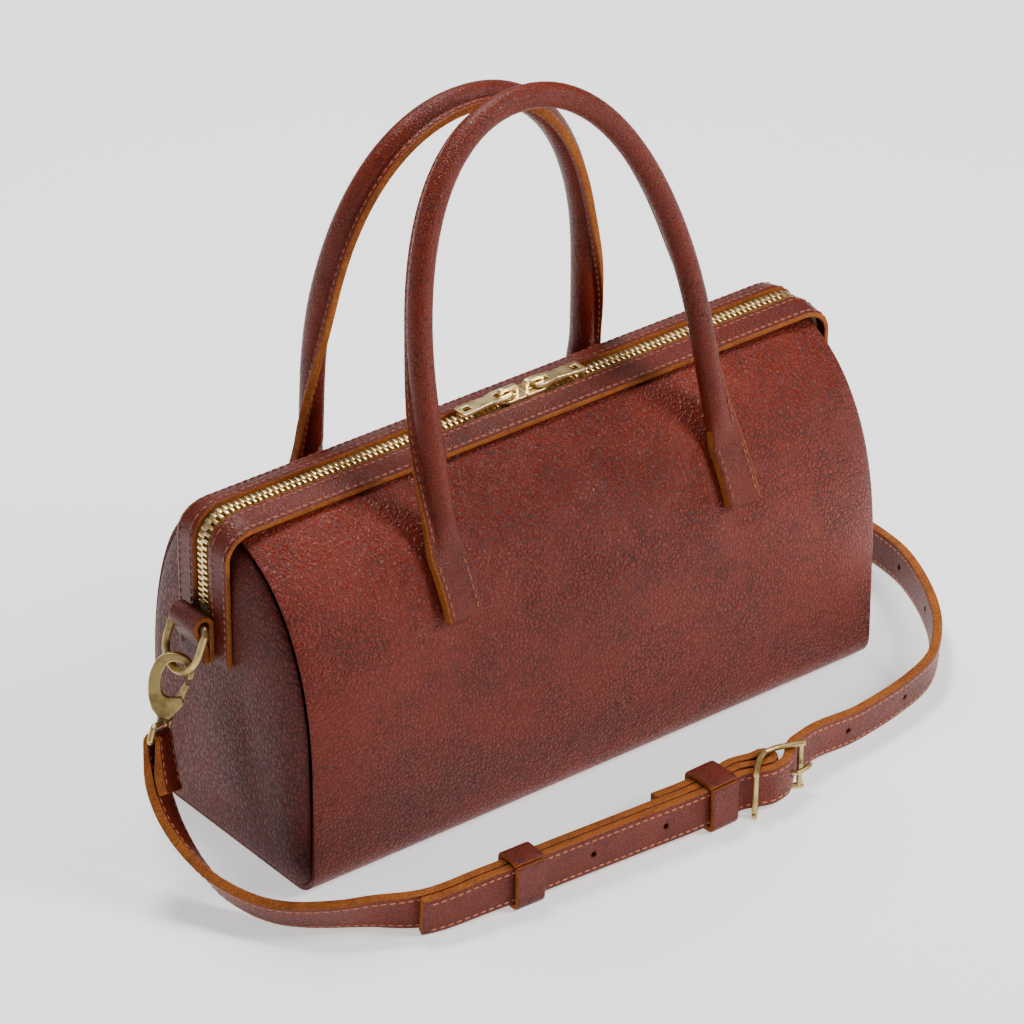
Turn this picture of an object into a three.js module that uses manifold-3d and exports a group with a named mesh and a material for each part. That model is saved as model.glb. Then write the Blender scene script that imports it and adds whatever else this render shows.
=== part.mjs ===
// A small boston bag of pebbled leather, closed, standing with its shoulder strap laid round it.
// Millimetres, +X along the bag, +Y to its back, +Z up. The origin is on the ground under its middle.
import * as THREE from 'three';
import { mergeVertices } from 'three/addons/utils/BufferGeometryUtils.js';
import Module from 'manifold-3d';

const wasm = await Module();
wasm.setup();

// Bag
const bagLength = 270;            // between the two end seams
const bagDepth = 100;             // front to back at the seams
const wallHeight = 50;            // upright part of the end outline
const archHeight = 87;            // from there to the crest of the end outline
const archPower = 2.2;            // 2 is an ellipse, more is squarer
const bottomRadius = 11;          // bottom edge, front and back
const topLean = 4.7;              // the crest leans this far to the back
const leather = 2;                // wall of the panels
const seamGap = 0.3;              // between two neighbouring pieces
const crown = 6.5;                // how far the wrapped panel swells between its end seams
const crownSquareness = 6;        // how quickly that swelling rises beside a seam
const endBulge = 6.5;             // how far an end panel swells
const endCentreHeight = 75;       // height of the middle of that swelling
// Share of the crown that the wrapped panel has at each share of its height
const crownTable = [
  { height: 0, share: 0 },
  { height: 0.09, share: 0.12 },
  { height: 0.3, share: 0.5 },
  { height: 0.62, share: 1 },
  { height: 0.85, share: 0.8 },
  { height: 0.95, share: 0.4 },
  { height: 1, share: 0.3 },
];

// Zip
const zipOpening = 23;            // slot in the panels under the strips
const stripGap = 9.4;             // between the two strips
const stripWidth = 10.6;
const stripThickness = 2.2;
const stripClearance = 1.2;       // the strips' inner face above the crowned panel's crest
const stripBend = 11.5;           // inside radius where a strip turns down over an end
const stripFoot = 84;             // height of the strips' lower ends
const tapeThickness = 1.2;
const chainWidth = 5.9;
const chainThickness = 1.5;
const chainFoot = 103;            // height of the lower ends of the teeth
const sliderLength = 11.6;
const sliderWidth = 8.6;
const sliderPlate = 1.2;
const slidersMeet = 3.8;          // place along the bag where the two sliders meet
const sliderBridgeWidth = 2;
const sliderBridgeLength = 9;
const sliderBridgeOpening = 2.6;
const sliderBridgeThickness = 1.2;
const pullLength = 23;
const pullThickness = 1.4;
const pullRingWidth = 7.4;
const pullTabWidth = 6.8;
const pullSlope = 2.2;            // degrees, from the slider down to the tape

// Handles
const handleSpacing = 133;        // between the middles of its two feet
const handleFootHeight = 97;
const handleTabLength = 24;
const handleTabWidth = 15;
const handleTabThickness = 4;
const handleTube = 9.6;           // diameter
const handleFlange = 3.2;         // sewn edge beside the tube
const handleFlangeThickness = 3.2;
const handleArchSquareness = 3.3;
const handleArchRoundness = 2.1;
const handleTwistStart = 0.1;     // share of a leg's height at which its sewn edge starts to turn in
const handleTwistSpan = 0.52;     // and over which it has turned to face the other handle
// The front and back handles differ a little in how they stand
const handleStance = {
  front: { side: -1, top: 266, leanDegrees: 17, sway: 1 },
  back: { side: 1, top: 263, leanDegrees: 9, sway: -11 },
};

// End loops and D-rings
const tabWidth = 16;
const tabLeather = 2.2;
const tabFoot = 84.5;
const ringWire = 3;
const ringWidth = 20;             // middle of wire to middle of wire
const ringDrop = 20;              // from its bar to the middle of its lowest wire
const ringAxisHeight = 100.5;
const ringTilt = 22;              // degrees that the ring swings out from upright

// Swivel clasps
const claspTurn = 38;             // degrees about the upright, from facing the bag's front
const claspRecline = 19;          // degrees that its face looks up
const claspThickness = 3.3;
const claspHeight = 24;
const gateThickness = 1.3;
const gateWidth = 1.9;
const swivelWire = 2.2;
const swivelDrop = 8.2;           // from the clasp's foot to the middle of the strap bar
const swivelTurn = 15;            // degrees that the strap bar is turned about the clasp's shank

// Strap
const strapWidth = 16;
const strapThickness = 3.8;
const strapPlay = 0.9;            // between the strap's edge and a clasp's wire
const strapFold = 21;             // doubled length behind a clasp
const foldThickness = 1.9;        // pared leather where it turns round a clasp's bar
const buckleFold = 52;            // doubled length behind the buckle
const strapTail = 158;            // from the buckle to the free end
const keeperLength = 12.5;
const keeperLeather = 2.2;
const fixedKeeperPlace = 26;      // from the buckle's middle bar
const slidingKeeperPlace = 115;
const buckleAlong = 0.29;         // share of half the bag's length at which the buckle lies
const buckleBar = 2.2;
const buckleReach = 13.5;         // middle bar to either outer bar
const buckleInside = 16.8;         // clear height of the frame
const holeSpacing = 33;
const holeDiameter = 2.4;
const tongueHole = 14;            // from the middle bar to the hole that the tongue uses
const holesTowardTail = 3;
const holesTowardRing = 5;
const strapRest = 0.3;            // the strap's lower edge above the ground
const standLift = 2.4;            // and how much higher it stands beside the buckle

// The strap on its way from the left strap bar to the ground, in shares of the bar's height.
// Upright is 0 where the strap lies along the bar and 1 where it stands on its edge.
const strapRise = [
  { x: 0, y: 0, z: 0, upright: 0 },
  { x: -0.023, y: -0.041, z: -0.105, upright: 0.05 },
  { x: -0.056, y: -0.124, z: -0.269, upright: 0.2 },
  { x: -0.066, y: -0.225, z: -0.408, upright: 0.4 },
  { x: -0.052, y: -0.335, z: -0.539, upright: 0.6 },
  { x: -0.025, y: -0.475, z: -0.658, upright: 0.8 },
  { x: 0.018, y: -0.64, z: -0.755, upright: 0.95 },
  { x: 0.078, y: -0.78, z: -0.812, upright: 1 },
];
const strapRiseLean = 34;
// The strap on the ground, from the left end round the front, the right end and back behind the
// bag: along is a share of half the bag's length, out a share of half its depth, and lean the
// degrees that its upper edge leans away from the bag.
const strapRoute = [
  { along: -1.175, out: -1.01, lean: 33 },
  { along: -1.132, out: -1.22, lean: 33 },
  { along: -1.088, out: -1.374, lean: 31 },
  { along: -1.038, out: -1.514, lean: 28 },
  { along: -0.978, out: -1.63, lean: 21 },
  { along: -0.867, out: -1.8, lean: 8 },
  { along: -0.708, out: -1.9, lean: 2 },
  { along: -0.436, out: -1.944, lean: 0 },
  { along: -0.113, out: -1.996, lean: 0 },
  { along: 0.025, out: -2.018, lean: 0 },
  { along: 0.181, out: -2.004, lean: 0 },
  { along: 0.393, out: -1.9, lean: 2 },
  { along: 0.519, out: -1.824, lean: 8 },
  { along: 0.696, out: -1.786, lean: 10 },
  { along: 0.879, out: -1.7, lean: 10 },
  { along: 1.025, out: -1.56, lean: 8 },
  { along: 1.142, out: -1.29, lean: 4 },
  { along: 1.213, out: -1.05, lean: 1 },
  { along: 1.269, out: -0.79, lean: 0 },
  { along: 1.313, out: -0.53, lean: 0 },
  { along: 1.348, out: -0.24, lean: 0 },
  { along: 1.363, out: 0.2, lean: 0 },
  { along: 1.35, out: 1, lean: 0 },
  { along: 1.26, out: 1.75, lean: 0 },
  { along: 1.05, out: 2.33, lean: 0 },
  { along: 0.74, out: 2.7, lean: 0 },
  { along: 0.38, out: 2.84, lean: 0 },
  { along: 0.1, out: 2.68, lean: 0 },
  { along: 0.04, out: 2.25, lean: 0 },
  { along: 0.22, out: 1.9, lean: 0 },
  { along: 0.56, out: 1.76, lean: 0 },
  { along: 0.9, out: 1.56, lean: -10 },
  { along: 1.1, out: 1.35, lean: -26 },
  { along: 1.184, out: 1.134, lean: -33 },
];
// The clasp's outline from its tip over the top and down to its foot, then back inside, in shares
// of its height, with 0 where it hangs on the ring.
const claspOuter = [
  [0.262, -0.133], [0.285, 0.02], [0.17, 0.2], [-0.067, 0.265], [-0.267, 0.175],
  [-0.392, -0.063], [-0.42, -0.354], [-0.371, -0.604],
];
const claspFoot = [[-0.279, -0.733], [-0.117, -0.775]];
const claspJaw = [[0.117, -0.54], [0.083, -0.433]];
const claspInner = [
  [-0.108, -0.442], [-0.208, -0.375], [-0.233, -0.188], [-0.192, -0.008],
  [-0.083, 0.125], [0.067, 0.118], [0.183, 0.02], [0.192, -0.15],
];
const gatePivot = [0.025, -0.5];
const gateLean = 29;              // degrees from the clasp's upright
const gateReach = 8.4;

// Colours and finishes
const finish = {
  leather: new THREE.MeshStandardMaterial({ color: 0x7c3426, roughness: 0.45, metalness: 0 }),
  leatherEdge: new THREE.MeshStandardMaterial({ color: 0x8e4a2c, roughness: 0.6, metalness: 0 }),
  brass: new THREE.MeshStandardMaterial({ color: 0xb59a55, roughness: 0.32, metalness: 1 }),
  gilt: new THREE.MeshStandardMaterial({ color: 0xe0c88a, roughness: 0.3, metalness: 1 }),
  tape: new THREE.MeshStandardMaterial({ color: 0xc9a45a, roughness: 0.8, metalness: 0 }),
};

// Helpers

function vec(x, y, z) {
  return new THREE.Vector3(x, y, z);
}

function mix(a, b, t) {
  return a + (b - a) * t;
}

function smooth(t) {
  const u = Math.min(Math.max(t, 0), 1);
  return u * u * (3 - 2 * u);
}

function range(count) {
  return Array.from({ length: count }, (_, i) => i);
}

function tableValue(table, key, value, at) {
  let row = 0;
  while (row < table.length - 2 && table[row + 1][key] < at) row += 1;
  const a = table[row];
  const b = table[row + 1];
  const t = Math.min(Math.max((at - a[key]) / (b[key] - a[key]), 0), 1);
  return mix(a[value], b[value], t);
}

function signedVolume(points, triangles) {
  let volume = 0;
  for (const [a, b, c] of triangles) {
    volume += points[a].dot(points[b].clone().cross(points[c]));
  }
  return volume / 6;
}

function bodyOf(points, triangles) {
  const turned = signedVolume(points, triangles) < 0;
  const faces = turned ? triangles.map(([a, b, c]) => [a, c, b]) : triangles;
  const geometry = new THREE.BufferGeometry();
  const flat = points.flatMap((p) => [p.x, p.y, p.z]);
  geometry.setAttribute('position', new THREE.Float32BufferAttribute(flat, 3));
  geometry.setIndex(faces.flat());
  geometry.computeVertexNormals();
  return geometry;
}

// A closed body through rings with equal numbers of points. Its ends are closed by a fan round
// their middle or by a strip between the ring's two sides, or the last ring joins the first.
function loft(rings, ends = 'fan') {
  const count = rings[0].length;
  const points = rings.flat();
  const triangles = [];
  const last = ends === 'joined' ? rings.length : rings.length - 1;
  for (const k of range(last)) {
    const here = k * count;
    const next = ((k + 1) % rings.length) * count;
    for (const i of range(count)) {
      const j = (i + 1) % count;
      triangles.push([here + i, here + j, next + j], [here + i, next + j, next + i]);
    }
  }
  const end = (rings.length - 1) * count;
  if (ends === 'fan') {
    const middle = points.length;
    for (const ring of [rings[0], rings.at(-1)]) {
      points.push(ring.reduce((sum, p) => sum.add(p), vec(0, 0, 0)).divideScalar(count));
    }
    for (const i of range(count)) {
      const j = (i + 1) % count;
      triangles.push([middle, j, i], [middle + 1, end + i, end + j]);
    }
  }
  if (ends === 'strip') {
    for (const i of range(count / 2 - 1)) {
      const [a, b, c, d] = [i, i + 1, count - 2 - i, count - 1 - i];
      triangles.push([a, c, b], [a, d, c], [end + a, end + b, end + c], [end + a, end + c, end + d]);
    }
  }
  return bodyOf(points, triangles);
}

function solidOf(geometry) {
  let bare = geometry.clone();
  bare.deleteAttribute('normal');
  bare.deleteAttribute('uv');
  bare = mergeVertices(bare, 1e-4);
  return new wasm.Manifold(new wasm.Mesh({
    numProp: 3,
    vertProperties: new Float32Array(bare.attributes.position.array),
    triVerts: new Uint32Array(bare.index.array),
  }));
}

function geometryOf(solid) {
  const { vertProperties, triVerts } = solid.getMesh();
  const geometry = new THREE.BufferGeometry();
  geometry.setAttribute('position', new THREE.Float32BufferAttribute(vertProperties, 3));
  geometry.setIndex(Array.from(triVerts));
  geometry.computeVertexNormals();
  return geometry;
}

function joined(...geometries) {
  return geometryOf(geometries.map(solidOf).reduce((whole, part) => whole.add(part)));
}

function cut(geometry, ...tools) {
  return geometryOf(tools.map(solidOf).reduce((whole, part) => whole.subtract(part), solidOf(geometry)));
}

function box(x, y, z, place) {
  return new THREE.BoxGeometry(x, y, z).translate(place.x, place.y, place.z);
}

// A flat plate on Z = 0 with its holes
function plateOf(outline, holes, depth, segments = 12) {
  const plate = (path, low, thick) => {
    const shape = new THREE.Shape(path.getPoints(segments));
    return new THREE.ExtrudeGeometry(shape, { depth: thick, bevelEnabled: false }).translate(0, 0, low);
  };
  const whole = plate(outline, 0, depth);
  return holes.length === 0 ? whole : cut(whole, ...holes.map((hole) => plate(hole, -1, depth + 2)));
}

// A round wire along a closed flat path of [a, b] points in the plane of two axes
function wireLoop(path, origin, axisA, axisB, radius, sides = 8) {
  const normal = axisA.clone().cross(axisB).normalize();
  const count = path.length;
  const at = (i) => path[(i + count) % count];
  const rings = range(count).map((i) => {
    const before = new THREE.Vector2(...at(i)).sub(new THREE.Vector2(...at(i - 1))).normalize();
    const after = new THREE.Vector2(...at(i + 1)).sub(new THREE.Vector2(...at(i))).normalize();
    const along = before.clone().add(after).normalize();
    const widen = 1 / Math.max(along.dot(before), 0.5);
    const out = new THREE.Vector2(along.y, -along.x);
    const [a, b] = at(i);
    const centre = origin.clone().addScaledVector(axisA, a).addScaledVector(axisB, b);
    const outward = axisA.clone().multiplyScalar(out.x).addScaledVector(axisB, out.y);
    return range(sides).map((k) => {
      const turn = (2 * Math.PI * (k + 0.5)) / sides;
      return centre.clone()
        .addScaledVector(outward, radius * Math.cos(turn) * widen)
        .addScaledVector(normal, radius * Math.sin(turn));
    });
  });
  return loft(rings, 'joined');
}

const bag = new THREE.Group();

function place(name, geometry, material) {
  const mesh = new THREE.Mesh(geometry, material);
  mesh.name = name;
  bag.add(mesh);
  return mesh;
}

// Outline of the bag's ends

const crest = wallHeight + archHeight;

// One side's outline from the middle of the bottom up to a distance from the zip line
function halfOutline(side, fromZip) {
  const half = bagDepth / 2;
  const points = [[0, 0], [half * 0.4, 0]];
  for (const k of range(6)) {
    const turn = (Math.PI / 2) * (k / 5);
    points.push([
      half - bottomRadius + bottomRadius * Math.sin(turn),
      bottomRadius - bottomRadius * Math.cos(turn),
    ]);
  }
  points.push([half, mix(bottomRadius, wallHeight, 0.5)]);
  const steps = 11;
  const top = Math.acos((fromZip / half) ** (archPower / 2));
  for (const k of range(steps + 1)) {
    const turn = top * (k / steps);
    points.push([
      half * Math.max(Math.cos(turn), 0) ** (2 / archPower),
      wallHeight + archHeight * Math.sin(turn) ** (2 / archPower),
    ]);
  }
  return points.map(([y, z]) => {
    const lean = topLean * (Math.max(z - wallHeight, 0) / archHeight) ** 4;
    return new THREE.Vector2(side * y + lean, z);
  });
}

function wholeOutline(fromZip) {
  const front = halfOutline(-1, fromZip).reverse();
  const back = halfOutline(1, fromZip).slice(1);
  return front.concat(fromZip > 0 ? back : back.slice(0, -1));
}

function outlineNormals(points, closed) {
  const count = points.length;
  return points.map((p, i) => {
    const before = closed ? points[(i + count - 1) % count] : points[Math.max(i - 1, 0)];
    const after = closed ? points[(i + 1) % count] : points[Math.min(i + 1, count - 1)];
    const along = after.clone().sub(before).normalize();
    return new THREE.Vector2(-along.y, along.x);
  });
}

function crownAlong(x) {
  const share = Math.min(Math.abs(2 * x / bagLength), 1);
  return (1 - share ** crownSquareness) ** 0.7;
}

// Outer outline of the wrapped panel at a place along the bag
function crownedOutline(x, fromZip) {
  const outline = wholeOutline(fromZip);
  const normals = outlineNormals(outline, false);
  return outline.map((p, i) => {
    const share = tableValue(crownTable, 'height', 'share', p.y / crest);
    const outward = crown * crownAlong(x) * share;
    return p.clone().addScaledVector(normals[i], p.y > 0 ? -outward : 0);
  });
}

function makeBodyPanel() {
  const shares = [-1, -0.985, -0.94, -0.82, -0.5, 0, 0.5, 0.82, 0.94, 0.985, 1];
  const rings = shares.map((share) => {
    const x = share * bagLength / 2;
    const outer = crownedOutline(x, zipOpening / 2);
    const normals = outlineNormals(outer, false);
    const inner = outer.map((p, i) => p.clone().addScaledVector(normals[i], leather)).reverse();
    return outer.concat(inner).map((p) => vec(x, p.x, p.y));
  });
  return loft(rings, 'strip');
}

function makeEndPanel(side) {
  const outline = wholeOutline(0);
  const normals = outlineNormals(outline, true);
  const rim = outline.map((p, i) => p.clone().addScaledVector(normals[i], leather + seamGap));
  const centre = new THREE.Vector2(0, endCentreHeight);
  const edgePlace = bagLength / 2 - seamGap;
  const innerShrink = 1 - leather / (bagDepth / 2);
  const shares = [0.03, 0.4, 0.68, 0.85, 0.95, 1];
  const ring = (share, shrink, depth) => {
    const x = edgePlace + endBulge * Math.sqrt(1 - share ** 6) - depth;
    return rim.map((p) => {
      const q = centre.clone().lerp(p, share * shrink);
      return vec(side * x, q.x, q.y);
    });
  };
  const outside = shares.map((share) => ring(share, 1, 0));
  const inside = shares.map((share) => ring(share, innerShrink, leather)).reverse();
  const slotFoot = stripFoot + 2;
  const slotHeight = crest + archHeight;
  const slot = box(bagLength / 4, zipOpening, slotHeight,
    vec(side * bagLength / 2, topLean, slotFoot + slotHeight / 2));
  return cut(loft(outside.concat(inside)), slot);
}

// Strips, tape and teeth follow one path over the top and down both ends

const stripSeat = crest + crown * crownTable.at(-1).share + stripClearance;
const stripEnd = bagLength / 2 + endBulge + seamGap;

// Place and outward direction on the strips' inner face; foot is where the path ends at each side
function zipPath(foot) {
  const bendX = stripEnd - stripBend;
  const bendZ = stripSeat - stripBend;
  const half = [];
  const runs = 5;
  for (const k of range(runs)) {
    half.push({ x: bendX * (k / runs), z: stripSeat, turn: 0 });
  }
  const bends = 8;
  for (const k of range(bends + 1)) {
    const turn = (Math.PI / 2) * (k / bends);
    half.push({ x: bendX + stripBend * Math.sin(turn), z: bendZ + stripBend * Math.cos(turn), turn });
  }
  half.push({ x: stripEnd, z: mix(bendZ, foot, 0.5), turn: Math.PI / 2 });
  half.push({ x: stripEnd, z: foot, turn: Math.PI / 2 });
  const left = half.slice(1).reverse().map(({ x, z, turn }) => ({ x: -x, z, turn: -turn }));
  return left.concat(half);
}

// How far the top falls away to the front and back of the zip line
function topDrop(fromZip) {
  const share = Math.abs(fromZip) / (bagDepth / 2);
  return archHeight * (1 - (1 - share ** archPower) ** (1 / archPower));
}

function zipBand(foot, across, low, high) {
  const rings = zipPath(foot).map(({ x, z, turn }) => {
    const share = mix(1, 0.12, smooth(Math.abs(turn) / (Math.PI / 2)));
    const row = (level, places) => places.map((v) => {
      const height = level - topDrop(v) * share;
      return vec(x + height * Math.sin(turn), topLean + v, z + height * Math.cos(turn));
    });
    return row(low, across).concat(row(high, [...across].reverse()));
  });
  return loft(rings, 'strip');
}

function makeStrip(side) {
  const near = stripGap / 2;
  const across = [near, near + stripWidth / 2, near + stripWidth].map((v) => side * v);
  return zipBand(stripFoot, across, 0, stripThickness);
}

function makeTape() {
  const half = zipOpening / 2 - seamGap;
  const across = [-half, 0, half];
  return zipBand(stripFoot + 2 + seamGap, across, -seamGap - tapeThickness, -seamGap);
}

function makeChain() {
  return zipBand(chainFoot, [-chainWidth / 2, chainWidth / 2], 0, chainThickness);
}

// Sliders and pulls

const sliderFoot = stripSeat + chainThickness + seamGap;
const sliderTop = sliderFoot + sliderPlate;
const bridgeRise = sliderBridgeOpening + sliderBridgeThickness;
const pullAxisHeight = sliderTop + seamGap + sliderBridgeOpening / 2 - 0.3;

function sliderMiddle(side) {
  return slidersMeet + side * (sliderLength / 2 + seamGap);
}

function makeSlider(side) {
  const middle = sliderMiddle(side);
  const half = sliderLength / 2;
  const nose = sliderWidth * 0.3;
  const plan = new THREE.Shape();
  plan.moveTo(-half, -nose);
  plan.lineTo(-half * 0.4, -sliderWidth / 2);
  plan.lineTo(half, -sliderWidth / 2);
  plan.lineTo(half, sliderWidth / 2);
  plan.lineTo(-half * 0.4, sliderWidth / 2);
  plan.lineTo(-half, nose);
  plan.closePath();
  const plate = plateOf(plan, [], sliderPlate);
  plate.rotateZ(side > 0 ? Math.PI : 0).translate(middle, topLean, sliderFoot);
  const flangeWidth = (sliderWidth - chainWidth) / 2 - seamGap;
  const flangeDepth = chainThickness;
  const flanges = [-1, 1].map((v) => box(half * 1.3, flangeWidth, flangeDepth + sliderPlate,
    vec(middle - side * half * 0.3, topLean + v * (sliderWidth - flangeWidth) / 2,
      sliderTop - (flangeDepth + sliderPlate) / 2)));
  const arch = new THREE.Shape();
  const reach = sliderBridgeLength / 2;
  arch.moveTo(-reach, -sliderPlate / 2);
  arch.lineTo(-reach, bridgeRise * 0.55);
  arch.quadraticCurveTo(-reach, bridgeRise, -reach * 0.45, bridgeRise);
  arch.lineTo(reach * 0.45, bridgeRise);
  arch.quadraticCurveTo(reach, bridgeRise, reach, bridgeRise * 0.55);
  arch.lineTo(reach, -sliderPlate / 2);
  arch.closePath();
  const under = new THREE.Path();
  const inner = reach - sliderBridgeThickness;
  under.moveTo(-inner, seamGap);
  under.lineTo(-inner * 0.8, sliderBridgeOpening);
  under.lineTo(inner * 0.8, sliderBridgeOpening);
  under.lineTo(inner, seamGap);
  under.closePath();
  const bridge = plateOf(arch, [under], sliderBridgeWidth, 6);
  bridge.rotateX(Math.PI / 2).translate(middle, topLean + sliderBridgeWidth / 2, sliderTop);
  return joined(plate, ...flanges, bridge);
}

// A pull in its own plane: its cross bar lies on the origin, its length runs along +X
function makePullPlate() {
  const ring = pullRingWidth / 2;
  const tab = pullTabWidth / 2;
  const waist = tab * 0.78;
  const plan = new THREE.Shape();
  plan.moveTo(-0.65, -ring * 0.6);
  plan.quadraticCurveTo(-0.6, -ring, pullLength * 0.12, -ring);
  plan.quadraticCurveTo(pullLength * 0.3, -ring, pullLength * 0.4, -waist);
  plan.lineTo(pullLength * 0.97, -tab);
  plan.lineTo(pullLength, -tab * 0.85);
  plan.lineTo(pullLength, tab * 0.85);
  plan.lineTo(pullLength * 0.97, tab);
  plan.lineTo(pullLength * 0.4, waist);
  plan.quadraticCurveTo(pullLength * 0.3, ring, pullLength * 0.12, ring);
  plan.quadraticCurveTo(-0.6, ring, -0.65, ring * 0.6);
  plan.closePath();
  const eye = new THREE.Path();
  const eyeHalf = sliderBridgeWidth / 2 + 0.5;
  eye.moveTo(0.65, -eyeHalf);
  eye.lineTo(sliderBridgeLength * 0.72, -eyeHalf);
  eye.lineTo(sliderBridgeLength * 0.72, eyeHalf);
  eye.lineTo(0.65, eyeHalf);
  eye.closePath();
  const slot = new THREE.Path();
  slot.moveTo(pullLength * 0.78, -tab * 0.45);
  slot.lineTo(pullLength * 0.92, -tab * 0.45);
  slot.lineTo(pullLength * 0.92, tab * 0.45);
  slot.lineTo(pullLength * 0.78, tab * 0.45);
  slot.closePath();
  return plateOf(plan, [eye, slot], pullThickness, 6).translate(0, 0, -pullThickness / 2);
}

function makePull(side) {
  return makePullPlate()
    .rotateY(THREE.MathUtils.degToRad(pullSlope))
    .rotateZ(side < 0 ? Math.PI : 0)
    .translate(sliderMiddle(side), topLean, pullAxisHeight);
}

// Handles

// Point on the wrapped panel's outer face at a height, with the face's slope there
function panelAt(side, x, height) {
  const outline = crownedOutline(x, zipOpening / 2);
  const half = side < 0 ? outline : [...outline].reverse();
  let row = 1;
  while (row < half.length - 1 && half[row].y > height) row += 1;
  const above = half[row - 1];
  const below = half[row];
  const y = mix(below.x, above.x, (height - below.y) / (above.y - below.y));
  const rise = above.clone().sub(below).normalize();
  return { y, rise, outward: new THREE.Vector2(side * rise.y, -side * rise.x) };
}

// One leg's middle line from its foot to the top of the arch, as rows of place and thickness blend
function handleLeg(stance) {
  const { side, top, leanDegrees } = stance;
  const footX = handleSpacing / 2;
  const rows = [];
  const seat = handleTabThickness / 2 + seamGap;
  const tabTop = handleFootHeight + handleTabLength * 0.83;
  for (const k of range(4)) {
    const height = mix(handleFootHeight, tabTop, k / 3);
    const panel = panelAt(side, footX, height);
    rows.push({
      x: footX, y: panel.y + panel.outward.x * seat, z: height + panel.outward.y * seat, round: 0,
    });
  }
  const leave = rows.at(-1);
  const slope = Math.abs(panelAt(side, footX, tabTop).rise.x / panelAt(side, footX, tabTop).rise.y);
  const lean = Math.tan(THREE.MathUtils.degToRad(leanDegrees));
  const settle = 2;
  const full = top - handleFootHeight;
  const start = Math.asin(((leave.z - handleFootHeight) / full) ** (handleArchSquareness / 2));
  const steps = 15;
  for (const k of range(steps)) {
    const turn = mix(start, Math.PI / 2, ((k + 1) / steps) ** 0.85);
    const share = Math.sin(turn) ** (2 / handleArchSquareness);
    const z = handleFootHeight + full * share;
    const free = z - leave.z;
    const back = lean * free + (slope - lean) * settle * (1 - Math.exp(-free / settle));
    rows.push({
      x: footX * Math.max(Math.cos(turn), 0) ** (2 / handleArchRoundness),
      y: leave.y - side * back,
      z,
      round: smooth(free / (handleTube * 1.5)),
    });
  }
  return rows;
}

function handleSection(round, width, thick) {
  const radius = handleTube / 2;
  const edge = handleFlangeThickness / 2;
  const neck = Math.sqrt(radius ** 2 - edge ** 2);
  const reach = radius + handleFlange;
  const turns = [50, 80, 110, 140, 180, 220, 250, 280, 310];
  const tube = [[neck, edge]];
  for (const degrees of turns) {
    const turn = THREE.MathUtils.degToRad(degrees);
    tube.push([radius * Math.cos(turn), radius * Math.sin(turn)]);
  }
  tube.push([neck, -edge], [reach, -edge], [reach, edge]);
  const middle = handleFlange / 2;
  const near = middle - width / 2;
  const far = middle + width / 2;
  const half = thick / 2;
  const flat = [
    [far * 0.72, half], [far * 0.44, half], [far * 0.16, half], [near * 0.3, half], [near, half],
    [near, 0], [near, -half], [near * 0.3, -half], [far * 0.16, -half], [far * 0.44, -half],
    [far * 0.72, -half], [far, -half], [far, half],
  ];
  return tube.map(([a, b], i) => [
    mix(flat[i][0], a, round) - middle,
    mix(flat[i][1], b, round),
  ]);
}

function makeHandle(stance) {
  const leg = handleLeg(stance);
  const { side, top, sway } = stance;
  const full = top - handleFootHeight;
  const swayed = (row, sign) => {
    const share = (row.z - handleFootHeight) / full;
    return { ...row, x: sign * row.x + sway * share, share };
  };
  const left = leg.map((row) => swayed(row, -1));
  const right = leg.slice(0, -1).reverse().map((row) => swayed(row, 1));
  const rows = left.concat(right);
  const rings = rows.map((row, i) => {
    const before = rows[Math.max(i - 1, 0)];
    const after = rows[Math.min(i + 1, rows.length - 1)];
    const along = vec(after.x - before.x, after.y - before.y, after.z - before.z).normalize();
    const up = i < left.length - 1 ? 1 : -1;
    const flatRun = i === left.length - 1;
    const legBefore = flatRun ? rows[i - 1] : before;
    const legAfter = flatRun ? row : after;
    const climb = vec(0, legAfter.y - legBefore.y, legAfter.z - legBefore.z)
      .multiplyScalar(flatRun ? 1 : up).normalize();
    const outward = vec(0, side * climb.z, -side * climb.y);
    const wide = along.clone().cross(outward).multiplyScalar(side).normalize();
    const turn = (Math.PI / 2) * smooth((row.share - handleTwistStart) / handleTwistSpan);
    const flange = wide.multiplyScalar(Math.cos(turn)).addScaledVector(outward, -Math.sin(turn));
    const across = along.clone().cross(flange).normalize();
    const section = handleSection(row.round, handleTabWidth, handleTabThickness);
    const ring = section.map(([a, b]) => vec(row.x, row.y, row.z)
      .addScaledVector(flange, a).addScaledVector(across, b));
    return ring;
  });
  return loft(rings);
}

// End loops and D-rings, made at the left end and turned half round the zip line for the right

const ringAxisX = -(stripEnd + stripThickness + seamGap);
const ringPlay = 0.9;
const loopInside = ringWire / 2 + ringPlay;
const loopOutside = loopInside + tabLeather;
const ringAxis = vec(ringAxisX - loopOutside, topLean, ringAxisHeight);
const ringFall = vec(-Math.sin(THREE.MathUtils.degToRad(ringTilt)), 0,
  -Math.cos(THREE.MathUtils.degToRad(ringTilt)));
const halfTurn = new THREE.Matrix4().makeRotationZ(Math.PI).setPosition(0, 2 * topLean, 0);

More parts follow.
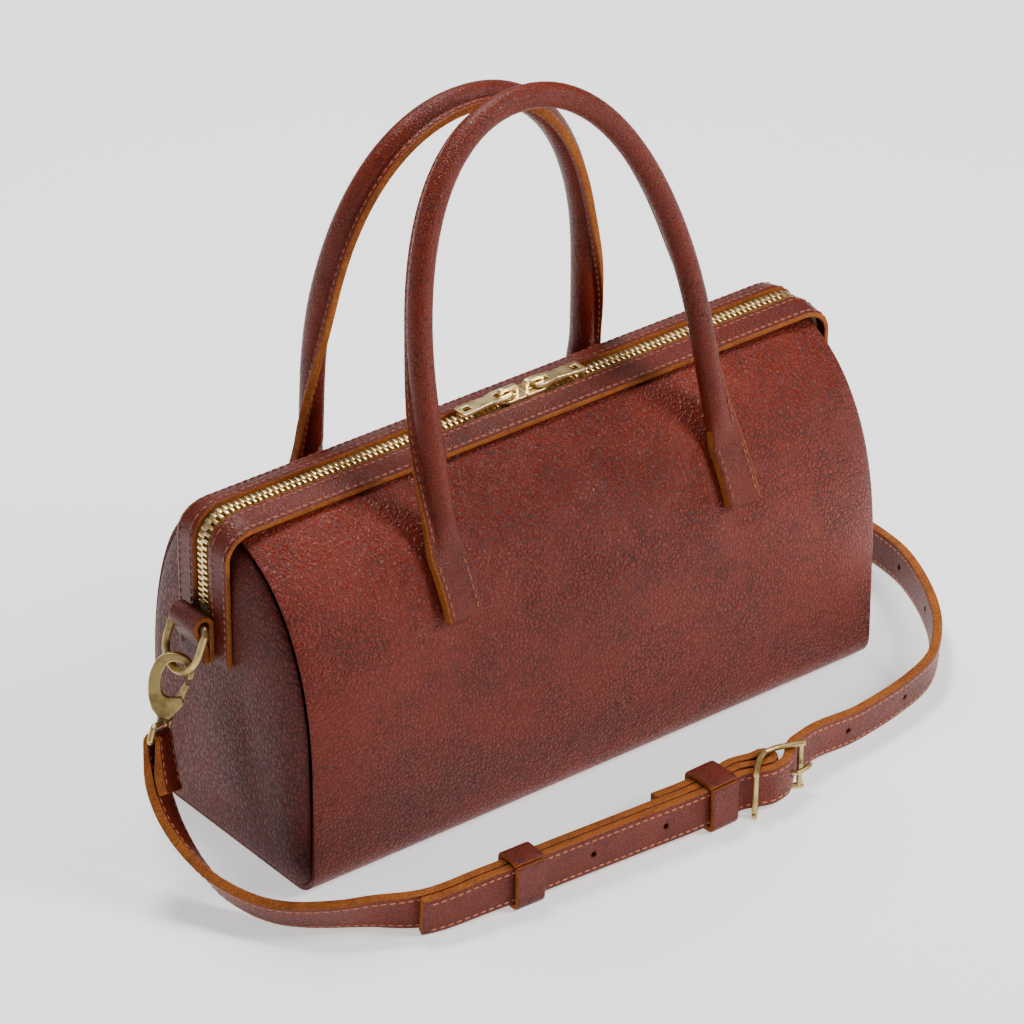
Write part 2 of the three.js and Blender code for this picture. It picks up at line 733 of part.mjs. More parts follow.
function makeEndLoop() {
  const face = -ringAxisX;
  const axis = face + loopOutside;
  const neck = tabFoot + (ringAxisHeight - tabFoot) * 0.42;
  const outline = new THREE.Shape();
  outline.moveTo(face, tabFoot);
  outline.lineTo(face, ringAxisHeight);
  outline.absarc(axis, ringAxisHeight, loopOutside, Math.PI, 0, true);
  outline.lineTo(axis + loopOutside * 0.8, ringAxisHeight - loopOutside * 0.9);
  outline.lineTo(face + 2 * tabLeather + seamGap, neck);
  outline.lineTo(face + 2 * tabLeather + seamGap, tabFoot);
  outline.closePath();
  const eye = new THREE.Path();
  eye.moveTo(axis - loopInside, ringAxisHeight);
  eye.absarc(axis, ringAxisHeight, loopInside, Math.PI, 0, true);
  eye.lineTo(axis + loopInside * 0.7, ringAxisHeight - loopOutside * 0.75);
  eye.lineTo(face + tabLeather + seamGap, neck + tabLeather);
  eye.lineTo(face + tabLeather, ringAxisHeight - loopOutside);
  eye.closePath();
  return plateOf(outline, [eye], tabWidth, 12)
    .rotateX(Math.PI / 2)
    .rotateZ(Math.PI)
    .translate(0, topLean - tabWidth / 2, 0);
}

function makeRing() {
  const half = ringWidth / 2;
  const corner = ringWire * 0.85;
  const path = [[-half + corner, 0], [0, 0], [half - corner, 0]];
  path.push([half - corner * 0.3, corner * 0.3], [half, corner], [half, (ringDrop - half) * 0.7]);
  for (const k of range(13)) {
    const turn = Math.PI * (k / 12);
    path.push([half * Math.cos(turn), ringDrop - half + half * Math.sin(turn)]);
  }
  path.push([-half, (ringDrop - half) * 0.7], [-half, corner]);
  path.push([-half + corner * 0.3, corner * 0.3]);
  return wireLoop(path, ringAxis, vec(0, 1, 0), ringFall, ringWire / 2);
}

// Swivel clasps, in a frame that hangs at the middle of the ring's lowest wire: +X across the
// clasp, +Y up it and +Z out of its face

const turnRadians = THREE.MathUtils.degToRad(claspTurn);
const reclineRadians = THREE.MathUtils.degToRad(claspRecline);
const claspAcross = vec(Math.cos(turnRadians), -Math.sin(turnRadians), 0);
const claspUp = vec(
  Math.sin(reclineRadians) * Math.sin(turnRadians),
  Math.sin(reclineRadians) * Math.cos(turnRadians),
  Math.cos(reclineRadians),
);
const claspFace = claspAcross.clone().cross(claspUp);
const claspPlace = ringAxis.clone().addScaledVector(ringFall, ringDrop);
const claspFrame = new THREE.Matrix4().makeBasis(claspAcross, claspUp, claspFace)
  .setPosition(claspPlace);

const claspPoint = ([a, b]) => new THREE.Vector2(a * claspHeight, b * claspHeight);
const footMiddle = claspPoint(claspFoot[0]).add(claspPoint(claspFoot[1])).multiplyScalar(0.5);
const shank = footMiddle.clone().normalize();
const strapBarPlace = footMiddle.clone().addScaledVector(shank, swivelDrop);
const pivot = claspPoint(gatePivot);
// Direction of the strap bar, which faces into the clasp before it is turned
const barAxis = vec(0, 0, -1)
  .applyAxisAngle(vec(shank.x, shank.y, 0), THREE.MathUtils.degToRad(swivelTurn));

function makeClaspHook() {
  const outline = new THREE.Shape();
  const outer = claspOuter.map(claspPoint);
  outline.moveTo(outer[0].x, outer[0].y);
  outline.splineThru(outer.slice(1));
  for (const point of [...claspFoot, ...claspJaw].map(claspPoint)) outline.lineTo(point.x, point.y);
  const inner = claspInner.map(claspPoint);
  outline.lineTo(inner[0].x, inner[0].y);
  outline.splineThru(inner.slice(1));
  outline.closePath();
  const hook = plateOf(outline, [], claspThickness, 4).translate(0, 0, -claspThickness / 2);
  const slotTop = claspJaw[1][1] * claspHeight + 1;
  const slotFloor = pivot.y - gateWidth;
  const slot = box(claspHeight * 0.24, slotTop - slotFloor, gateThickness + 2 * seamGap,
    vec(pivot.x + claspHeight * 0.05, (slotTop + slotFloor) / 2, 0));
  return cut(hook, slot);
}

function makeClaspGate() {
  const half = gateWidth / 2;
  const outline = new THREE.Shape();
  outline.absarc(0, 0, half * 1.3, Math.PI, 2 * Math.PI, false);
  outline.lineTo(half, gateReach - half);
  outline.lineTo(half * 0.3, gateReach);
  outline.lineTo(-half * 0.3, gateReach);
  outline.lineTo(-half, gateReach - half);
  outline.closePath();
  const blade = plateOf(outline, [], gateThickness, 8).translate(0, 0, -gateThickness / 2);
  const clearFoot = claspHeight * 0.16;
  const face = box(gateWidth, gateReach - half - clearFoot, claspThickness * 0.8,
    vec(0, (gateReach - half + clearFoot) / 2, 0));
  return joined(blade, face)
    .rotateZ(-THREE.MathUtils.degToRad(gateLean))
    .translate(pivot.x, pivot.y, 0);
}

function makeSwivel() {
  const half = strapWidth / 2 + swivelWire / 2 + strapPlay;
  const shoulder = swivelWire * 1.1;
  const start = swivelDrop * 0.24;
  const elbow = swivelDrop - claspLoopRadius - foldThickness / 2 - swivelWire / 2 - strapPlay;
  const corner = swivelWire * 0.4;
  const path = [
    [-shoulder, start], [shoulder, start], [half - corner, elbow - corner], [half, elbow],
    [half, swivelDrop - corner], [half - corner, swivelDrop], [0, swivelDrop],
    [-half + corner, swivelDrop], [-half, swivelDrop - corner], [-half, elbow],
    [-half + corner, elbow - corner],
  ];
  const down = vec(shank.x, shank.y, 0);
  const origin = vec(footMiddle.x, footMiddle.y, 0);
  const loop = wireLoop(path, origin, barAxis, down, swivelWire / 2);
  const collarHeight = start - seamGap;
  const collar = new THREE.CylinderGeometry(swivelWire * 0.75, swivelWire * 0.95, collarHeight, 12)
    .applyQuaternion(new THREE.Quaternion().setFromUnitVectors(vec(0, -1, 0), down));
  const middle = origin.addScaledVector(down, seamGap + collarHeight / 2);
  return joined(loop, collar.translate(middle.x, middle.y, middle.z));
}

// Strap

const leftBar = vec(strapBarPlace.x, strapBarPlace.y, 0).applyMatrix4(claspFrame);
const leftBarAxis = barAxis.clone().transformDirection(claspFrame);
const rightBarAxis = leftBarAxis.clone().transformDirection(halfTurn);
const halfStack = strapThickness + seamGap / 2;

function strapRows() {
  const rise = strapRise.map((row) => ({
    point: vec(row.x, row.y, row.z).multiplyScalar(leftBar.z).add(leftBar),
    upright: row.upright,
    lean: THREE.MathUtils.degToRad(strapRiseLean),
  }));
  const ground = strapRoute.map((row) => {
    const lean = THREE.MathUtils.degToRad(row.lean);
    const height = strapWidth / 2 * Math.cos(lean) + halfStack * Math.abs(Math.sin(lean)) + strapRest;
    return {
      point: vec(row.along * bagLength / 2, row.out * bagDepth / 2, height), upright: 1, lean,
    };
  });
  const right = rise.map((row) => ({
    point: row.point.clone().applyMatrix4(halfTurn), upright: row.upright, lean: -row.lean,
  })).reverse();
  return rise.concat(ground, right);
}

// The strap's middle line, sampled evenly, with its width direction
function strapLine() {
  const rows = strapRows();
  const curve = new THREE.CatmullRomCurve3(rows.map((row) => row.point), false, 'centripetal');
  const fine = 1600;
  const points = range(fine + 1).map((k) => curve.getPoint(k / fine));
  let run = 0;
  return points.map((point, k) => {
    if (k > 0) run += point.distanceTo(points[k - 1]);
    const place = (k / fine) * (rows.length - 1);
    const row = Math.min(Math.floor(place), rows.length - 2);
    const upright = mix(rows[row].upright, rows[row + 1].upright, place - row);
    const lean = mix(rows[row].lean, rows[row + 1].lean, place - row);
    const along = points[Math.min(k + 1, fine)].clone().sub(points[Math.max(k - 1, 0)]);
    const outward = vec(along.y, -along.x, 0).normalize();
    const stood = vec(0, 0, -Math.cos(lean)).addScaledVector(outward, -Math.sin(lean));
    const bar = k > fine / 2 ? rightBarAxis : leftBarAxis;
    const wide = bar.clone().multiplyScalar(1 - upright).addScaledVector(stood, upright);
    return { point, run, wide: wide.normalize() };
  });
}

const easing = 16;                // run over which two layers close up behind a bar
const line = strapLine();
const strapRun = line.at(-1).run;

function lineSample(run) {
  let low = 0;
  let high = line.length - 1;
  while (high - low > 1) {
    const middle = (low + high) >> 1;
    if (line[middle].run <= run) low = middle;
    else high = middle;
  }
  const t = (run - line[low].run) / (line[high].run - line[low].run);
  return {
    point: line[low].point.clone().lerp(line[high].point, t),
    wide: line[low].wide.clone().lerp(line[high].wide, t).normalize(),
    along: line[high].point.clone().sub(line[low].point).normalize(),
  };
}

const buckleRun = line.find(({ point }) => point.x > buckleAlong * bagLength / 2).run;
const liftStart = buckleRun - slidingKeeperPlace - 3.5 * keeperLength;
const liftEnd = buckleRun + 4 * buckleReach;

// Place on the line with its directions: along, wide (down where the strap stands) and inner
function strapFrame(run) {
  const { point, wide, along } = lineSample(run);
  const inner = along.clone().cross(wide).normalize();
  const lift = standLift * smooth((run - liftStart) / 30) * smooth((liftEnd - run) / 30);
  return { point: point.add(vec(0, 0, lift)), along, inner, wide: inner.clone().cross(along) };
}

function strapPlace(run, offset) {
  const { point, inner, wide } = strapFrame(run);
  const fromEnd = Math.min(run, strapRun - run);
  const thick = mix(foldThickness, strapThickness, smooth(fromEnd / easing));
  return { centre: point.addScaledVector(inner, offset), wide, thick };
}

// Half a turn round a bar, from one face of the strap to the other
function barTurn(run, barOffset, radius, ahead, from) {
  const { point, along, inner, wide } = strapFrame(run);
  const { thick } = strapPlace(run, barOffset);
  const bar = point.clone().addScaledVector(inner, barOffset);
  return range(6).map((k) => {
    const turn = Math.PI * ((k + 0.5) / 6);
    const centre = bar.clone()
      .addScaledVector(inner, from * radius * Math.cos(turn))
      .addScaledVector(along, ahead * radius * Math.sin(turn));
    return { centre, wide, thick };
  });
}

function strapBody(places) {
  const rings = places.map(({ centre, wide, thick }, i) => {
    const before = places[Math.max(i - 1, 0)].centre;
    const after = places[Math.min(i + 1, places.length - 1)].centre;
    const along = after.clone().sub(before).normalize();
    const face = along.clone().cross(wide).normalize();
    const width = face.clone().cross(along);
    return [[-1, -1], [1, -1], [1, 1], [-1, 1]].map(([a, b]) => centre.clone()
      .addScaledVector(width, a * strapWidth / 2).addScaledVector(face, b * thick / 2));
  });
  return loft(rings, 'strip');
}

const middleBarOffset = -1;
const humpRise = 14;              // run over which the strap climbs to the middle bar
const humpReach = humpRise + 3;   // and over which the upper layer follows it
const layer = (strapThickness + seamGap) / 2;
const claspLoopRadius = swivelWire / 2 + seamGap + foldThickness / 2;
const buckleLoopRadius = buckleBar / 2 + seamGap + strapThickness / 2;
const wrappedOffset = middleBarOffset - buckleLoopRadius;
const strapCrossing = 42;         // run over which the strap moves from one layer to the other

function runs(from, to, step) {
  const count = Math.max(Math.ceil(Math.abs(to - from) / step), 1);
  return range(count + 1).map((k) => mix(from, to, k / count));
}

function makeStrapShort() {
  const foldOffset = (run) => mix(claspLoopRadius, layer, smooth(run / easing));
  const places = runs(strapFold, 0, 5).map((run) => strapPlace(run, foldOffset(run)));
  places.push(...barTurn(0, 0, claspLoopRadius, -1, 1));
  const crossing = buckleRun - strapTail - 14 - strapCrossing;
  const mainOffset = (run) => {
    if (run < crossing) return mix(-claspLoopRadius, -layer, smooth(run / easing));
    if (run < buckleRun - humpRise) return mix(-layer, layer, smooth((run - crossing) / strapCrossing));
    return mix(layer, wrappedOffset, smooth((run - buckleRun + humpRise) / humpRise));
  };
  const mainRuns = runs(0, buckleRun - strapTail, 9)
    .concat(runs(buckleRun - strapTail, buckleRun - humpReach, 8).slice(1))
    .concat(runs(buckleRun - humpReach, buckleRun, 2).slice(1));
  places.push(...mainRuns.map((run) => strapPlace(run, mainOffset(run))));
  places.push(...barTurn(buckleRun, middleBarOffset, buckleLoopRadius, 1, -1));
  const behind = layer + strapThickness + seamGap;
  const backOffset = (run) => mix(middleBarOffset + buckleLoopRadius, behind,
    smooth((buckleRun - run) / (humpRise - 1)));
  places.push(...runs(buckleRun, buckleRun - humpRise, 2.4)
    .concat(runs(buckleRun - humpRise, buckleRun - buckleFold, 7).slice(1))
    .map((run) => strapPlace(run, backOffset(run))));
  return cut(strapBody(places), ringRoom(), tongueRoom());
}

function makeStrapLong() {
  const over = wrappedOffset - strapThickness - seamGap;
  const crossing = strapRun - strapFold - 4;
  const mainOffset = (run) => {
    const away = Math.abs(run - buckleRun);
    if (away < humpReach) return mix(-layer, over, smooth((humpReach - away) / (humpReach - 2)));
    if (run < crossing) return mix(-layer, layer, smooth((run - crossing) / strapCrossing + 1));
    return mix(claspLoopRadius, layer, smooth((strapRun - run) / easing));
  };
  const mainRuns = runs(buckleRun - strapTail, buckleRun - humpReach, 8)
    .concat(runs(buckleRun - humpReach, buckleRun + humpReach, 2).slice(1))
    .concat(runs(buckleRun + humpReach, strapRun, 9).slice(1));
  const places = mainRuns.map((run) => strapPlace(run, mainOffset(run)));
  places.push(...barTurn(strapRun, 0, claspLoopRadius, 1, 1));
  places.push(...runs(strapRun, strapRun - strapFold, 5)
    .map((run) => strapPlace(run, -mix(claspLoopRadius, layer, smooth((strapRun - run) / easing)))));
  const holes = range(holesTowardTail + holesTowardRing + 1)
    .map((k) => k - holesTowardTail)
    .filter((k) => k !== 0)
    .map((k) => {
      const { point, inner } = strapFrame(buckleRun + tongueHole + k * holeSpacing);
      const turn = new THREE.Quaternion().setFromUnitVectors(vec(0, 1, 0), inner);
      const middle = point.addScaledVector(inner, -layer);
      return new THREE.CylinderGeometry(holeDiameter / 2, holeDiameter / 2, 2 * strapThickness, 8)
        .applyQuaternion(turn).translate(middle.x, middle.y, middle.z);
    });
  return cut(strapBody(places), tongueRoom(), ...holes);
}

// Buckle, in a frame at its middle bar: +X along the strap, +Y to its inner face, +Z up its width

const atBuckle = strapFrame(buckleRun);
const buckleFrame = new THREE.Matrix4()
  .makeBasis(atBuckle.along, atBuckle.inner, atBuckle.wide.clone().negate())
  .setPosition(atBuckle.point);
const outerBarOffset = -7.5;
const tongueThickness = 1.8;
const tongueRing = buckleBar / 2 + seamGap;
const tonguePath = [[0.18, -0.14], [0.45, -0.56], [0.62, -0.78], [1, -0.81], [1.2, -0.78]]
  .map(([a, b]) => vec(a * buckleReach, b * buckleReach, 0));

// A round rod through a few points that lie in one plane across an axis
function rod(points, axis, radius, sides = 8) {
  const rings = points.map((point, i) => {
    const before = points[Math.max(i - 1, 0)];
    const after = points[Math.min(i + 1, points.length - 1)];
    const along = after.clone().sub(before).normalize();
    const out = along.clone().cross(axis).normalize();
    return range(sides).map((k) => {
      const turn = (2 * Math.PI * (k + 0.5)) / sides;
      return point.clone().addScaledVector(out, radius * Math.cos(turn))
        .addScaledVector(axis, radius * Math.sin(turn));
    });
  });
  return loft(rings);
}

function makeBuckleFrame() {
  const rail = buckleInside / 2 + buckleBar / 2;
  const bars = [[-1, outerBarOffset], [0, middleBarOffset], [1, outerBarOffset]].map(([a, offset]) =>
    rod([vec(a * buckleReach, offset, -rail), vec(a * buckleReach, offset, rail)],
      vec(0, 1, 0), buckleBar / 2));
  const bow = (a) => mix(middleBarOffset, outerBarOffset, Math.abs(a) ** 1.5);
  const rails = [-rail, rail].map((z) => rod(
    [-1.1, -0.8, -0.4, 0, 0.4, 0.8, 1.1].map((a) => vec(a * buckleReach, bow(a), z)),
    vec(0, 0, 1), buckleBar / 2));
  return joined(...bars, ...rails).applyMatrix4(buckleFrame);
}

function makeBuckleTongue() {
  const width = tongueThickness;
  const profile = [
    [tongueRing, -width], [tongueRing + tongueThickness * 0.6, -width],
    [tongueRing + tongueThickness * 0.6, width], [tongueRing, width], [tongueRing, -width],
  ].map(([r, h]) => new THREE.Vector2(r, h));
  const ring = new THREE.LatheGeometry(profile, 14)
    .rotateX(Math.PI / 2).translate(0, middleBarOffset, 0);
  const arm = rod(tonguePath, vec(0, 0, 1), tongueThickness / 2);
  return joined(ring, arm).applyMatrix4(buckleFrame);
}

// Room that the tongue needs through the leather
function tongueRoom() {
  return rod(tonguePath.slice(0, 4), vec(0, 0, 1), tongueThickness / 2 + seamGap)
    .applyMatrix4(buckleFrame);
}

function ringRoom() {
  return new THREE.CylinderGeometry(
    tongueRing + tongueThickness * 0.6 + seamGap, tongueRing + tongueThickness * 0.6 + seamGap,
    2 * (tongueThickness + seamGap), 14,
  ).rotateX(Math.PI / 2).translate(0, middleBarOffset, 0).applyMatrix4(buckleFrame);
}

// A leather loop round the strap's layers; the fixed one also holds the folded end
function makeKeeper(place, layersBehind) {
  const { point, along, inner, wide } = strapFrame(buckleRun - place);
  const clear = 1.4 * seamGap;
  const near = -(strapThickness + seamGap / 2) - clear;
  const far = -near + layersBehind * (strapThickness + seamGap);
  const half = strapWidth / 2 + clear;
  const outline = new THREE.Shape();
  outline.moveTo(near - keeperLeather, -half);
  outline.quadraticCurveTo(near - keeperLeather, -half - keeperLeather, near, -half - keeperLeather);
  outline.lineTo(far, -half - keeperLeather);
  outline.quadraticCurveTo(far + keeperLeather, -half - keeperLeather, far + keeperLeather, -half);
  outline.lineTo(far + keeperLeather, half);
  outline.quadraticCurveTo(far + keeperLeather, half + keeperLeather, far, half + keeperLeather);
  outline.lineTo(near, half + keeperLeather);
  outline.quadraticCurveTo(near - keeperLeather, half + keeperLeather, near - keeperLeather, half);
  outline.closePath();
  const room = new THREE.Path();
  room.moveTo(near, -half);
  room.lineTo(far, -half);
  room.lineTo(far, half);
  room.lineTo(near, half);
  room.closePath();
  const frame = new THREE.Matrix4().makeBasis(inner, wide, along.clone().negate()).setPosition(point);
  return plateOf(outline, [room], keeperLength, 3)
    .translate(0, 0, -keeperLength / 2)
    .applyMatrix4(frame);
}

// The assembly

place('body_panel', makeBodyPanel(), finish.leather);
place('zip_strip_front', makeStrip(-1), finish.leather);
place('zip_strip_back', makeStrip(1), finish.leather);
place('zip_tape', makeTape(), finish.tape);
place('zip_chain', makeChain(), finish.gilt);
place('handle_front', makeHandle(handleStance.front), finish.leather);
place('handle_back', makeHandle(handleStance.back), finish.leather);
for (const [name, side] of [['left', -1], ['right', 1]]) {
  const turned = (geometry) => (side < 0 ? geometry : geometry.applyMatrix4(halfTurn));
  const hung = (geometry) => turned(geometry.applyMatrix4(claspFrame));
  place(`end_panel_${name}`, makeEndPanel(side), finish.leather);
  place(`slider_${name}`, makeSlider(side), finish.gilt);
  place(`pull_${name}`, makePull(side), finish.gilt);
  place(`ring_loop_${name}`, turned(makeEndLoop()), finish.leather);
  place(`d_ring_${name}`, turned(makeRing()), finish.brass);
  place(`clasp_hook_${name}`, hung(makeClaspHook()), finish.brass);
  place(`clasp_gate_${name}`, hung(makeClaspGate()), finish.brass);
  place(`clasp_swivel_${name}`, hung(makeSwivel()), finish.brass);
}
place('strap_short', makeStrapShort(), finish.leatherEdge);
place('strap_long', makeStrapLong(), finish.leather);
place('keeper_fixed', makeKeeper(fixedKeeperPlace, 1), finish.leather);
place('keeper_sliding', makeKeeper(slidingKeeperPlace, 0), finish.leather);
place('buckle_frame', makeBuckleFrame(), finish.brass);
place('buckle_tongue', makeBuckleTongue(), finish.brass);

export default bag;
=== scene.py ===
# %% [markdown]
# # A small boston bag of pebbled leather
#
# This lesson gives a CAD model of a boston bag its real surface: soft pebbled leather with raw
# amber edges, rows of stitches, a gilt zip on a woven gold tape and aged brass fittings. The CAD
# model says where every piece lies. Each soft piece is made here as flat leather first, as it is
# on the cutting table, and then laid on the line that it follows on the bag.

import math

import bpy
import numpy as np
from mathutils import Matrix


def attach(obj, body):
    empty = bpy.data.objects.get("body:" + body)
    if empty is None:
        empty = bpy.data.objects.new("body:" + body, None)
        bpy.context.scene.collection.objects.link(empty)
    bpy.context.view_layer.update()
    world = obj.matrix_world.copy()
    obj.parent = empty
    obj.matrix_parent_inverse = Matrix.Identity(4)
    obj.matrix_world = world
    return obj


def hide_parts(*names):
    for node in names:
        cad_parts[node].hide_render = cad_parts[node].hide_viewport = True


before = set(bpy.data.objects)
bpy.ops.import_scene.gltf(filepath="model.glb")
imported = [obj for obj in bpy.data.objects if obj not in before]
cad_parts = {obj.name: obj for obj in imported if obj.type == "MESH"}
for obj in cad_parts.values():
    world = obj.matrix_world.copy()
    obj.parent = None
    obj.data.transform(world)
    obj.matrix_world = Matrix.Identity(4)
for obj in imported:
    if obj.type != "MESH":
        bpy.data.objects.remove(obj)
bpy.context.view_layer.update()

# %% [markdown]
# ## Sizes
#
# Sizes are in millimetres, as on the CAD model, because leather goods are drawn in millimetres.
# Blender's unit is the metre, so a piece is scaled by 0.001 when its points are set.

# %%
MM = 0.001
BAG_LENGTH, BAG_DEPTH = 270, 100
WALL_HEIGHT, ARCH_HEIGHT, ARCH_POWER = 50, 87, 2.2
BOTTOM_RADIUS, TOP_LEAN, LEATHER, GAP = 11, 4.7, 2, 0.3
CROWN, CROWN_SQUARENESS = 6.5, 6
END_BULGE, END_CENTRE, BAG_MIDDLE = 6.5, 75, 70
CROWN_TABLE = np.array([[0, 0], [0.09, 0.12], [0.3, 0.5], [0.62, 1], [0.85, 0.8], [0.95, 0.4],
                        [1, 0.3]])
ZIP_OPENING, STRIP_GAP, STRIP_WIDTH, STRIP_THICKNESS = 23, 9.4, 10.6, 2.2
STRIP_BEND, STRIP_FOOT, TAPE_THICKNESS, CHAIN_FOOT = 11.5, 84, 1.2, 103
HANDLE_SPACING, HANDLE_FOOT, TAB_LENGTH, TAB_WIDTH, TAB_THICKNESS = 133, 97, 24, 15, 4
HANDLE_TUBE, FLANGE, FLANGE_THICKNESS = 9.6, 3.2, 3.2
ARCH_SQUARENESS, ARCH_ROUNDNESS, TWIST_START, TWIST_SPAN = 3.3, 2.1, 0.1, 0.52
STRAP_WIDTH, STRAP_THICKNESS, FOLD_THICKNESS = 16, 3.8, 1.9
LOOP_WIDTH, LOOP_THICKNESS = 16, 2.2
RING_WIRE, RING_HEIGHT, RING_REACH = 1.5, 100.5, 20
HOLE_SPACING, HOLE_RADIUS, TONGUE_HOLE, BUCKLE_BACK = 33, 1.2, 14, -1
CREST = WALL_HEIGHT + ARCH_HEIGHT
STRIP_SEAT = CREST + CROWN * 0.3 + 1.2
STRIP_END = BAG_LENGTH / 2 + END_BULGE + GAP
print("crest", CREST, "zip seat", round(STRIP_SEAT, 2))

# %% [markdown]
# ## Small tools
#
# Every step below deselects all first and then selects what it needs, because an operator works
# on whatever is selected. `points` and `put` read and write a mesh's points as one array, which
# is how a flat piece is laid on its curve. `keep_flat` keeps the place that each point had on the
# cutting table, so that the grain can follow the leather and not the room.

# %%
def deselect():
    if bpy.context.object and bpy.context.object.mode != "OBJECT":
        bpy.ops.object.mode_set(mode="OBJECT")
    bpy.ops.object.select_all(action="DESELECT")


def only(*objects):
    deselect()
    for each in objects:
        each.select_set(True)
    bpy.context.view_layer.objects.active = objects[-1]


def edit(piece):
    """Edit mode with the whole mesh selected."""
    only(piece)
    bpy.ops.object.mode_set(mode="EDIT")
    bpy.ops.mesh.select_all(action="SELECT")


def points(piece):
    co = np.empty(len(piece.data.vertices) * 3)
    piece.data.vertices.foreach_get("co", co)
    return co.reshape(-1, 3)


def put(piece, co):
    piece.data.vertices.foreach_set("co", np.ascontiguousarray(co, dtype=float).ravel())
    piece.data.update()


def keep_flat(piece, co):
    layer = piece.data.attributes.new("flat", "FLOAT_VECTOR", "POINT")
    layer.data.foreach_set("vector", np.ascontiguousarray(co, dtype=float).ravel())


def apply_modifier(piece, kind, **settings):
    only(piece)
    step = piece.modifiers.new(kind.title(), kind)
    for key, value in settings.items():
        setattr(step, key, value)
    bpy.ops.object.modifier_apply(modifier=step.name)


def cut(piece, cutter):
    apply_modifier(piece, "BOOLEAN", operation="DIFFERENCE", object=cutter)


def repeat(piece, count, pitch):
    apply_modifier(piece, "ARRAY", count=count, use_relative_offset=False,
                   use_constant_offset=True, constant_offset_displace=(pitch * MM, 0, 0))


def tidy_mesh(piece, merge=0.01):
    edit(piece)
    bpy.ops.mesh.remove_doubles(threshold=merge * MM)
    bpy.ops.mesh.normals_make_consistent(inside=False)
    bpy.ops.object.mode_set(mode="OBJECT")


def face_away(piece, middle):
    """Turns the faces of an open sheet so that they look away from its middle."""
    faces = piece.data.polygons
    normals = np.array([face.normal for face in faces])
    centres = np.array([face.center for face in faces])
    areas = np.array([face.area for face in faces])
    if (np.sum(normals * (centres - np.array(middle)), axis=1) * areas).sum() < 0:
        edit(piece)
        bpy.ops.mesh.flip_normals()
        bpy.ops.object.mode_set(mode="OBJECT")


def named(name):
    piece = bpy.context.object
    piece.name = name
    piece.data.name = name
    return piece


def grid(name, columns, rows):
    """A square of one unit, cut into columns and rows, whose points are then put in place."""
    deselect()
    bpy.ops.mesh.primitive_grid_add(x_subdivisions=columns, y_subdivisions=rows, size=1)
    return named(name)


def join(name, pieces):
    only(*pieces)
    bpy.ops.object.join()
    return named(name)


def dress(piece, *materials):
    piece.data.materials.clear()
    for material in materials:
        piece.data.materials.append(material)


def smooth_step(t):
    u = np.clip(t, 0, 1)
    return u * u * (3 - 2 * u)


def mix(a, b, t):
    return a + (b - a) * t


def unit(v):
    return v / np.linalg.norm(v, axis=-1, keepdims=True)


def running(line):
    """How far along a line each of its points lies."""
    return np.concatenate([[0], np.cumsum(np.linalg.norm(np.diff(line, axis=0), axis=1))])


def shade(piece, angle=40):
    only(piece)
    bpy.ops.object.shade_smooth_by_angle(angle=math.radians(angle))


print("tools ready")
